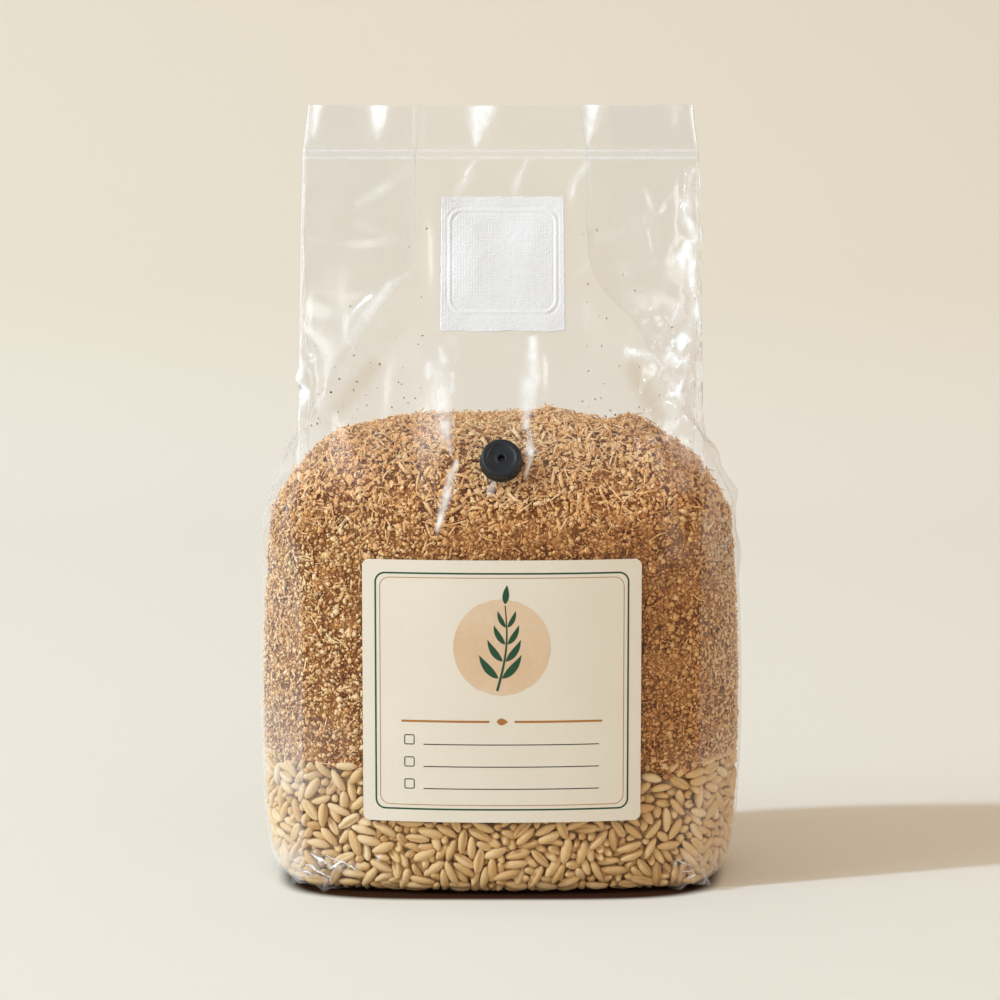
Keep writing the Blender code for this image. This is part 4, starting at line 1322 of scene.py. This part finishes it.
def makePatch(material):
    p = patchSettings
    s, t = np.meshgrid(np.linspace(-0.5, 0.5, p["columns"]), np.linspace(-0.5, 0.5, p["rows"]))
    rag = p["raggedSide"] * waves(t * 60, s * 0, 1.6, 601) * (np.abs(s) > 0.49)
    u = s * (p["width"] + p["flare"] * (0.5 - t)) + rag
    droop = np.exp(-((t + 0.5) / 0.1) ** 2) * (0.16 * np.sin(u / 3.1 + 0.6) + 0.12 * np.sin(u / 1.3))
    v = t * p["height"] + droop + p["raggedTop"] * waves(u * 1.1, t * 0, 1.2, 603) * (t > 0.49)
    away = roundedDistance(u, v - (p["padZ"] - p["z"]), p["padWidth"], p["padHeight"], p["padRadius"])
    relief = p["padRise"] * (1 - smoothStep(-9, -1.2, away))
    relief += p["beadHigh"] * np.exp(-(away / p["beadWide"]) ** 2)
    for side in (-1, 1):
        relief -= p["grooveDeep"] * np.exp(-((away - side * p["grooveOff"]) / p["grooveWide"]) ** 2)
    weave = np.sin((u + v) * p["weaveFine"]) * np.sin((u - v) * p["weaveFine"])
    relief += p["weave"] * weave * (1 - np.exp(-(away / 1.2) ** 2))
    relief += p["rough"] * waves(u, v, 1.1, 605) + p["slack"] * waves(u, v, 11, 607)
    x, z = p["x"] + u, p["z"] + v
    behind = -panelDepth(x, z) - p["off"]
    front = np.stack((x, behind - p["thick"] - np.maximum(relief, -0.25), z), axis=-1)
    back = np.stack((x, behind, z), axis=-1)
    rows, columns = x.shape
    index = np.arange(rows * columns).reshape(rows, columns)
    border = np.concatenate((index[0, :-1], index[:-1, -1], index[-1, :0:-1], index[:0:-1, 0]))
    edge = np.arange(len(border)) + rows * columns
    rim = np.stack((border, edge, np.roll(edge, -1), np.roll(border, -1)), axis=1)
    middle = back[rows // 2, columns // 2]
    flat = np.concatenate((front.reshape(-1, 3), back.reshape(-1, 3)[border], [middle]))
    faces = [gridFaces(rows, columns, closed=False), rim, fanFaces(edge, len(flat) - 1, flip=True)]
    makePiece("filter_sheet", flat, faces, material, replaces=("filter_patch",))


labelSettings = {
    "x": 0.3, "z": 67.1, "width": 88.8, "height": 84.6, "radius": 2.2, "off": 0.45, "thick": 0.25,
    "rings": 16, "cornerSteps": 8, "sideSteps": 40, "curl": 0.12, "inkOff": 0.03,
}


def labelSurface(u, v, lift):
    # places on the label, from its middle, put on the bag's front
    l = labelSettings
    x, z = l["x"] + u, l["z"] + v
    curl = l["curl"] * waves(u, v, 22, 701)
    return np.stack((x, -panelDepth(x, z) - l["off"] - l["thick"] - curl - lift, z), axis=-1)


def roundedOutline(width, height, radius, cornerSteps, sideSteps):
    # an anticlockwise rounded rectangle with extra points along its straight sides
    corners = []
    for k, (cx, cy) in enumerate([(1, -1), (1, 1), (-1, 1), (-1, -1)]):
        turn = np.linspace(-math.pi / 2 + k * math.pi / 2, k * math.pi / 2, cornerSteps + 1)
        middle = np.array((cx * (width / 2 - radius), cy * (height / 2 - radius)))
        corners.append(middle + radius * np.stack((np.cos(turn), np.sin(turn)), axis=1))
    outline = []
    for k in range(4):
        a, b = corners[k][-1], corners[(k + 1) % 4][0]
        outline += [corners[k], a + (b - a) * np.linspace(0, 1, sideSteps + 1)[1:-1, None]]
    return np.concatenate(outline)


def makeLabel(material):
    l = labelSettings
    outline = roundedOutline(l["width"], l["height"], l["radius"], l["cornerSteps"], l["sideSteps"])
    rings = np.array([outline * s for s in np.linspace(1, 0, l["rings"] + 1)[:-1]])
    front = labelSurface(rings[..., 0], rings[..., 1], 0.0)
    edge = labelSurface(outline[:, 0], outline[:, 1], -l["thick"])
    middles = [labelSurface(np.zeros(1), np.zeros(1), lift) for lift in (0.0, -l["thick"])]
    # the cut edge has points of its own, so it stays sharp
    flat = np.concatenate((front.reshape(-1, 3), edge, *middles, front[0], edge))
    rows, columns = front.shape[:2]
    count, around = rows * columns, np.arange(columns)
    top = around + count + columns + 2
    under = top + columns
    faces = [
        gridFaces(rows, columns), np.stack((under, np.roll(under, -1), np.roll(top, -1), top), axis=1),
        fanFaces(around + count - columns, count + columns),
        fanFaces(around + count, count + columns + 1, flip=True),
    ]
    makePiece("paper_label", flat, faces, material, replaces=("label",))


# The label's print is a plain frame, a leafy sprig on a round wash, a rule and blank lines to write on.
printSettings = {
    "frameInset": 4.2, "frameWide": 0.55, "innerInset": 5.6, "innerWide": 0.22, "frameRadius": 3.0,
    "washCentre": (0.0, 14.5), "washRadius": 15.5, "washRagged": 0.012,
    "sprigFoot": (-1.5, 0.5), "sprigTop": (1.0, 28.0), "sprigBow": 1.6, "stemWide": 0.42,
    "leafPairs": 4, "leafLength": 10.5, "leafWide": 2.5, "leafBend": 0.55,
    "ruleHeight": -9.5, "ruleHalf": 32.0, "ruleGap": 4.0, "ruleWide": 0.7, "lozenge": (3.8, 1.1),
    "lineHeights": (-17.0, -24.2, -31.4), "lineHalf": 31.0, "lineWide": 0.32, "lineGap": 3.0,
    "tickSize": 3.0, "tickRadius": 0.4,
}


def ribbon(path, halfWide, across=2):
    # a strip along a line on the label, with its half width at each point
    path, halfWide = np.asarray(path, float), np.broadcast_to(halfWide, len(path))
    way = unit(np.gradient(path, axis=0))
    side = np.stack((-way[:, 1], way[:, 0]), axis=1) * halfWide[:, None]
    steps = np.linspace(1, -1, across + 1)[None, :, None]
    return path[:, None] + side[:, None] * steps


def straight(a, b, halfWide, step=3.0):
    a, b = np.array(a, float), np.array(b, float)
    count = max(2, int(np.linalg.norm(b - a) / step) + 1)
    return ribbon(a + (b - a) * np.linspace(0, 1, count)[:, None], halfWide)


def closedRibbon(outline, halfWide):
    return ribbon(np.concatenate((outline, outline[:1])), halfWide)


def leaf(foot, angle, length, wide, bend):
    t = np.linspace(0, 1, 15)
    turn = angle + bend * t
    path = np.cumsum(np.stack((np.cos(turn), np.sin(turn)), axis=1) * length / len(t), axis=0) + foot
    return ribbon(path, np.maximum(wide * np.sin(math.pi * t ** 0.8) ** 0.9, 0.03), across=4)


def frameStrip(inset, wide):
    width, height = (labelSettings[key] - 2 * inset for key in ("width", "height"))
    return closedRibbon(roundedOutline(width, height, printSettings["frameRadius"], 8, 30), wide / 2)


def makePrint(name, strips, material, lift=0.0):
    points, faces, count = [], [], 0
    for strip in strips:
        rows, columns = strip.shape[:2]
        placed = labelSurface(strip[..., 0], strip[..., 1], labelSettings["inkOff"] + lift)
        points.append(placed.reshape(-1, 3))
        faces.append(gridFaces(rows, columns, closed=False, start=count))
        count += rows * columns
    makePiece(name, np.concatenate(points), faces, material)


def makeLabelPrint(inks):
    p = printSettings
    t = np.linspace(-0.995, 0.995, 41)
    centre, radius = np.array(p["washCentre"]), p["washRadius"]
    ragged = 1 + p["washRagged"] * waves(t * 40, t * 0, 4, 801)
    across = centre + np.stack((t * radius, 0 * t), axis=1)
    wash = ribbon(across, radius * np.sqrt(1 - t * t) * ragged, across=10)
    foot, top = np.array(p["sprigFoot"]), np.array(p["sprigTop"])
    s = np.linspace(0, 1, 16)[:, None]
    stem = foot + (top - foot) * s + np.array((p["sprigBow"], 0)) * np.sin(math.pi * s)
    sprig = [ribbon(stem, p["stemWide"] * (1 - 0.6 * s[:, 0]))]
    length, wide, bend = p["leafLength"], p["leafWide"], p["leafBend"]
    for k in range(p["leafPairs"]):
        # the pairs get shorter and steeper to the top
        root, shrink = stem[2 + 3 * k], 1 - 0.13 * k
        for handed in (-1, 1):
            angle = math.pi / 2 - handed * (0.98 - 0.08 * k)
            sprig.append(leaf(root, angle, length * shrink, wide * shrink * 0.5, handed * bend))
    sprig.append(leaf(stem[-1], math.pi / 2 - 0.05, length * 0.62, wide * 0.42, -0.1))
    height, half = p["ruleHeight"], p["ruleHalf"]
    rules = [straight((s * half, height), (s * p["ruleGap"], height), p["ruleWide"] / 2) for s in (-1, 1)]
    rules.append(leaf(np.array((-p["lozenge"][0] / 2, height)), 0.0, *p["lozenge"], 0.0))
    blanks = []
    half, tick, thin = p["lineHalf"], p["tickSize"], p["lineWide"] / 2
    for y in p["lineHeights"]:
        blanks.append(straight((-half + tick + p["lineGap"], y), (half, y), thin))
        box = roundedOutline(tick, tick, p["tickRadius"], 3, 2) + (-half + tick / 2, y + tick / 2)
        blanks.append(closedRibbon(box, thin))
    makePrint("label_wash", [wash], inks["tan"])
    makePrint("label_frame", [frameStrip(p["frameInset"], p["frameWide"])], inks["green"])
    makePrint("label_frame_inner", [frameStrip(p["innerInset"], p["innerWide"])], inks["amber"])
    makePrint("label_sprig", sprig, inks["green"], 0.03)
    makePrint("label_rule", rules, inks["amber"])
    makePrint("label_lines", blanks, inks["dark"])


# Injection port

portSettings = {
    "x": 0.1, "z": 139.2, "radius": 6.5, "thick": 4.2, "off": 0.75, "round": 0.85, "steps": 96,
}


def portProfile():
    # half of its section, from the floor of the needle hole out to the rim and back under
    r, h, bend = portSettings["radius"], portSettings["thick"], portSettings["round"]
    hole = [(0, 1.9), (0.55, 1.85), (0.95, 2.1), (1.02, 3.2), (1.12, 3.72)]
    lip = [(1.34, 3.92), (1.6, 3.94), (1.8, 3.86)]
    dish = [(2.4, 3.86), (3.2, 3.88), (3.9, 3.9), (4.2, 3.93), (4.4, 4.02), (4.65, 4.14), (4.95, h)]
    turns = [math.pi / 2 * k / 6 for k in range(7)]
    rim = [(r - bend + bend * math.sin(turn), h - bend + bend * math.cos(turn)) for turn in turns]
    wall = [(r, 2.6), (r, 1.5), (r - 0.02, 0.9), (r - 0.18, 0.75), (r - 0.1, 0.55)]
    skirt = [(r + 0.25, 0.3), (r + 0.3, 0.05), (r, -0.1)]
    return hole + lip + dish + rim + wall + skirt


def makePort(material):
    p = portSettings
    mesh = bpy.data.meshes.new("rubber_port")
    points = [(x * mm, 0, z * mm) for x, z in portProfile()]
    mesh.from_pydata(points, [(i, i + 1) for i in range(len(points) - 1)], [])
    mesh.materials.append(material)
    port = addObject("rubber_port", mesh)
    turned = port.modifiers.new("Turned", "SCREW")
    turned.steps = turned.render_steps = p["steps"]
    turned.use_merge_vertices = True
    turned.merge_threshold = 0.00001
    turned.use_smooth_shade = True
    below, depth, above = (float(panelDepth(p["x"], p["z"] + step * p["radius"])) for step in (-1, 0, 1))
    lean = math.atan2(below - above, 2 * p["radius"])
    away, height = depth + math.cos(lean) * p["off"], p["z"] + math.sin(lean) * p["off"]
    port.location = (p["x"] * mm, -away * mm, height * mm)
    port.rotation_euler = (math.pi / 2 - lean, 0, 0)
    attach(port, "root")
    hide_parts("injection_port")
    print("rubber_port made")


# Studio

studio = {
    # the sweep is paler near the floor, and a painted shade makes it a little deeper to the right
    "floorColours": ((0.80, 0.775, 0.72), (0.765, 0.712, 0.615)), "paintedShadeRight": (0.96, 0.93, 0.905),
    "footSize": (0.0705, 0.0427, 1.0), "footShade": (0.05, 0.016, 0.003), "footFade": (1.12, 0.91),
    "floorBack": 0.80, "floorFront": 1.6,
    "sweepRadius": 0.9, "sweepSide": 2.4, "sweepTop": 2.6, "sweepSteps": 24,
    "keyFrom": (-0.769, -0.251, 0.588), "keyColour": (0.59, 0.81, 1.0), "keyStrength": 2.06, "keyAngle": 2.6,
    "fillColour": (1.0, 0.84, 0.672), "fillStrength": 0.75,
    "roomColour": (0.97, 0.98, 1.0), "roomStrength": 0.40,      # what glossy surfaces mirror
    # a cool wash of light from the left
    "washPlace": (-1.45, -0.55, 0.75), "washSize": (0.7, 1.2),
    "washColour": (0.75, 0.91, 1.0), "washStrength": 3.8,
    # softboxes seen only as reflections: place, width, height, strength
    "softboxes": [
        ("strip_left", (-0.86, -1.35, 1.05), 0.42, 1.35, 7.0),
        ("strip_right", (1.15, -0.95, 0.85), 0.45, 1.1, 6.5),
        ("panel_left", (-1.5, -0.15, 0.7), 0.7, 1.2, 1.4),
        ("panel_top", (0.0, -0.5, 1.9), 1.2, 0.5, 0.8),
    ],
    "boxTarget": (0, 0, 0.13),
}


def multiplyColours(tree, first, second):
    return addNode(
        tree, "Mix", {"Factor": 1.0, "A": first, "B": second}, data_type="RGBA", blend_type="MULTIPLY",
    )


def makeBackdropMaterial():
    material, tree, place = startMaterial("pale_backdrop")
    axes = addNode(tree, "SeparateXYZ", {"Vector": place})
    height = addNode(tree, "MapRange", {"Value": axes.outputs["Z"], "From Min": 0.0, "From Max": 0.12})
    across = addNode(tree, "MapRange", {"Value": axes.outputs["X"], "From Min": -0.45, "From Max": 0.45})
    plain = mixColours(tree, height, *studio["floorColours"])
    # painted shade, deeper to the right
    paint = multiplyColours(tree, plain, mixColours(tree, across, (1, 1, 1), studio["paintedShadeRight"]))
    # painted contact shadow: the floor is darkest along the foot of the bag
    foot = addNode(tree, "VectorMath", {0: place, 1: studio["footSize"]}, operation="DIVIDE")
    squared = addNode(tree, "VectorMath", {0: foot, 1: foot}, operation="MULTIPLY")
    reach = addNode(tree, "VectorMath", {0: squared}, operation="LENGTH")
    edge = dict(zip(("From Min", "From Max"), studio["footFade"]))
    near = addNode(tree, "MapRange", {"Value": reach, **edge}, interpolation_type="SMOOTHSTEP")
    floor = multiplyColours(tree, paint, mixColours(tree, near, (1, 1, 1), studio["footShade"]))
    fibre = placeSpeckle(tree, place, patchScale=4.0, speckScale=900.0, share=0.5)
    bump = addBump(tree, fibre.outputs["Height"], strength=0.05, distance=0.0005)
    return endMaterial(material, addSolid(tree, floor, roughness=0.9, specular=0.1, bump=bump))


def makeStudio():
    # a floor that sweeps up into the wall behind
    radius, back = studio["sweepRadius"], studio["floorBack"]
    profile = [(-studio["floorFront"], 0.0), (back, 0.0)]
    for k in range(1, studio["sweepSteps"] + 1):
        turn = math.pi / 2 * k / studio["sweepSteps"]
        profile.append((back + radius * math.sin(turn), radius * (1 - math.cos(turn))))
    profile.append((back + radius, studio["sweepTop"]))
    points = [(side * studio["sweepSide"], y, z) for y, z in profile for side in (-1, 1)]
    quads = [(2 * i, 2 * i + 1, 2 * i + 3, 2 * i + 2) for i in range(len(profile) - 1)]
    mesh = bpy.data.meshes.new("backdrop")
    mesh.from_pydata(points, [], quads)
    mesh.shade_smooth()
    mesh.materials.append(makeBackdropMaterial())
    backdrop = addObject("backdrop", mesh)


def aimAt(obj, place, target):
    obj.location = place
    obj.rotation_euler = (Vector(target) - Vector(place)).to_track_quat("-Z", "Y").to_euler()


def makeSoftbox(name, place, width, height, strength):
    lamp = bpy.data.lights.new(name, "AREA")
    lamp.shape, lamp.size, lamp.size_y = "RECTANGLE", width, height
    lamp.energy = strength * width * height * math.pi
    box = addObject(name, lamp)
    aimAt(box, place, studio["boxTarget"])
    box.visible_camera = box.visible_transmission = False
    return box


def makeLights():
    sun = bpy.data.lights.new("key", "SUN")
    sun.energy, sun.color = studio["keyStrength"], studio["keyColour"]
    sun.angle = math.radians(studio["keyAngle"])
    aimAt(addObject("key", sun), studio["keyFrom"], (0, 0, 0))
    for settings in studio["softboxes"]:
        makeSoftbox(*settings).visible_diffuse = False
    wash = makeSoftbox("wash_left", studio["washPlace"], *studio["washSize"], studio["washStrength"])
    wash.data.color = studio["washColour"]
    wash.visible_glossy = False
    world = bpy.data.worlds.new("studio")
    world.use_nodes = True
    tree = world.node_tree
    tree.nodes.clear()
    fill, room = (
        addNode(tree, "Background", {"Color": (*studio[colour], 1), "Strength": studio[strength]})
        for colour, strength in (("fillColour", "fillStrength"), ("roomColour", "roomStrength"))
    )
    ray = addNode(tree, "LightPath", {}).outputs["Is Glossy Ray"]
    both = addNode(tree, "MixShader", {"Fac": ray, 1: fill, 2: room})
    addNode(tree, "OutputWorld", {"Surface": both})
    bpy.context.scene.world = world


cameraSettings = {"place": (-0.0003, -1.0, 0.255), "tilt": 82.5, "lens": 110.52, "sensor": 36.0}


def makeCamera():
    lens = bpy.data.cameras.new("camera")
    lens.lens, lens.sensor_width = cameraSettings["lens"], cameraSettings["sensor"]
    lens.dof.use_dof = False
    camera = addObject("camera", lens)
    camera.location = cameraSettings["place"]
    camera.rotation_euler = (math.radians(cameraSettings["tilt"]), 0, 0)
    bpy.context.scene.camera = camera


makeCamera()
makeStudio()
makeLights()
bpy.context.scene.view_settings.view_transform = "Standard"
bounces = bpy.context.scene.cycles
bounces.transparent_max_bounces = 32
bounces.max_bounces, bounces.diffuse_bounces, bounces.glossy_bounces = 6, 3, 3
print("studio ready")

# the film, with a pale material for its painted glints
makeFilm(makeFilmMaterial(), makePaperMaterial("painted_glint_film", (0.93, 0.93, 0.94), (0.80, 0.79, 0.78), 0.35))
wood = makeWoodMaterial("sawdust_wood", sawdustSettings["stops"], 900.0, bump=0.8)
makeSawdust(wood, makePackedMaterial(sawdustSettings["stops"]))
makeSpecks(wood)
grainSkin = makeGrainMaterial(grainSettings["stops"])
makeGrains(grainSkin)
makeGrainCore(grainSkin)
makePatch(makePaperMaterial("filter_fibre", (0.895, 0.90, 0.93), (0.82, 0.825, 0.855), 0.9, 900.0, 0.55, 1.6))
makeLabel(makePaperMaterial("label_paper", (0.785, 0.725, 0.62), (0.755, 0.69, 0.58), 0.62))
makeLabelPrint({
    "green": makePaperMaterial("green_ink", (0.012, 0.075, 0.03), (0.009, 0.06, 0.022), 0.5),
    "amber": makePaperMaterial("amber_ink", (0.45, 0.19, 0.045), (0.38, 0.15, 0.03), 0.5),
    "tan": makePaperMaterial("tan_wash", (0.66, 0.44, 0.27), (0.76, 0.60, 0.43), 0.6, 250.0),
    "dark": makePaperMaterial("dark_ink", (0.03, 0.035, 0.028), (0.02, 0.022, 0.018), 0.5),
})
makePort(makeRubberMaterial())

print("pieces done")
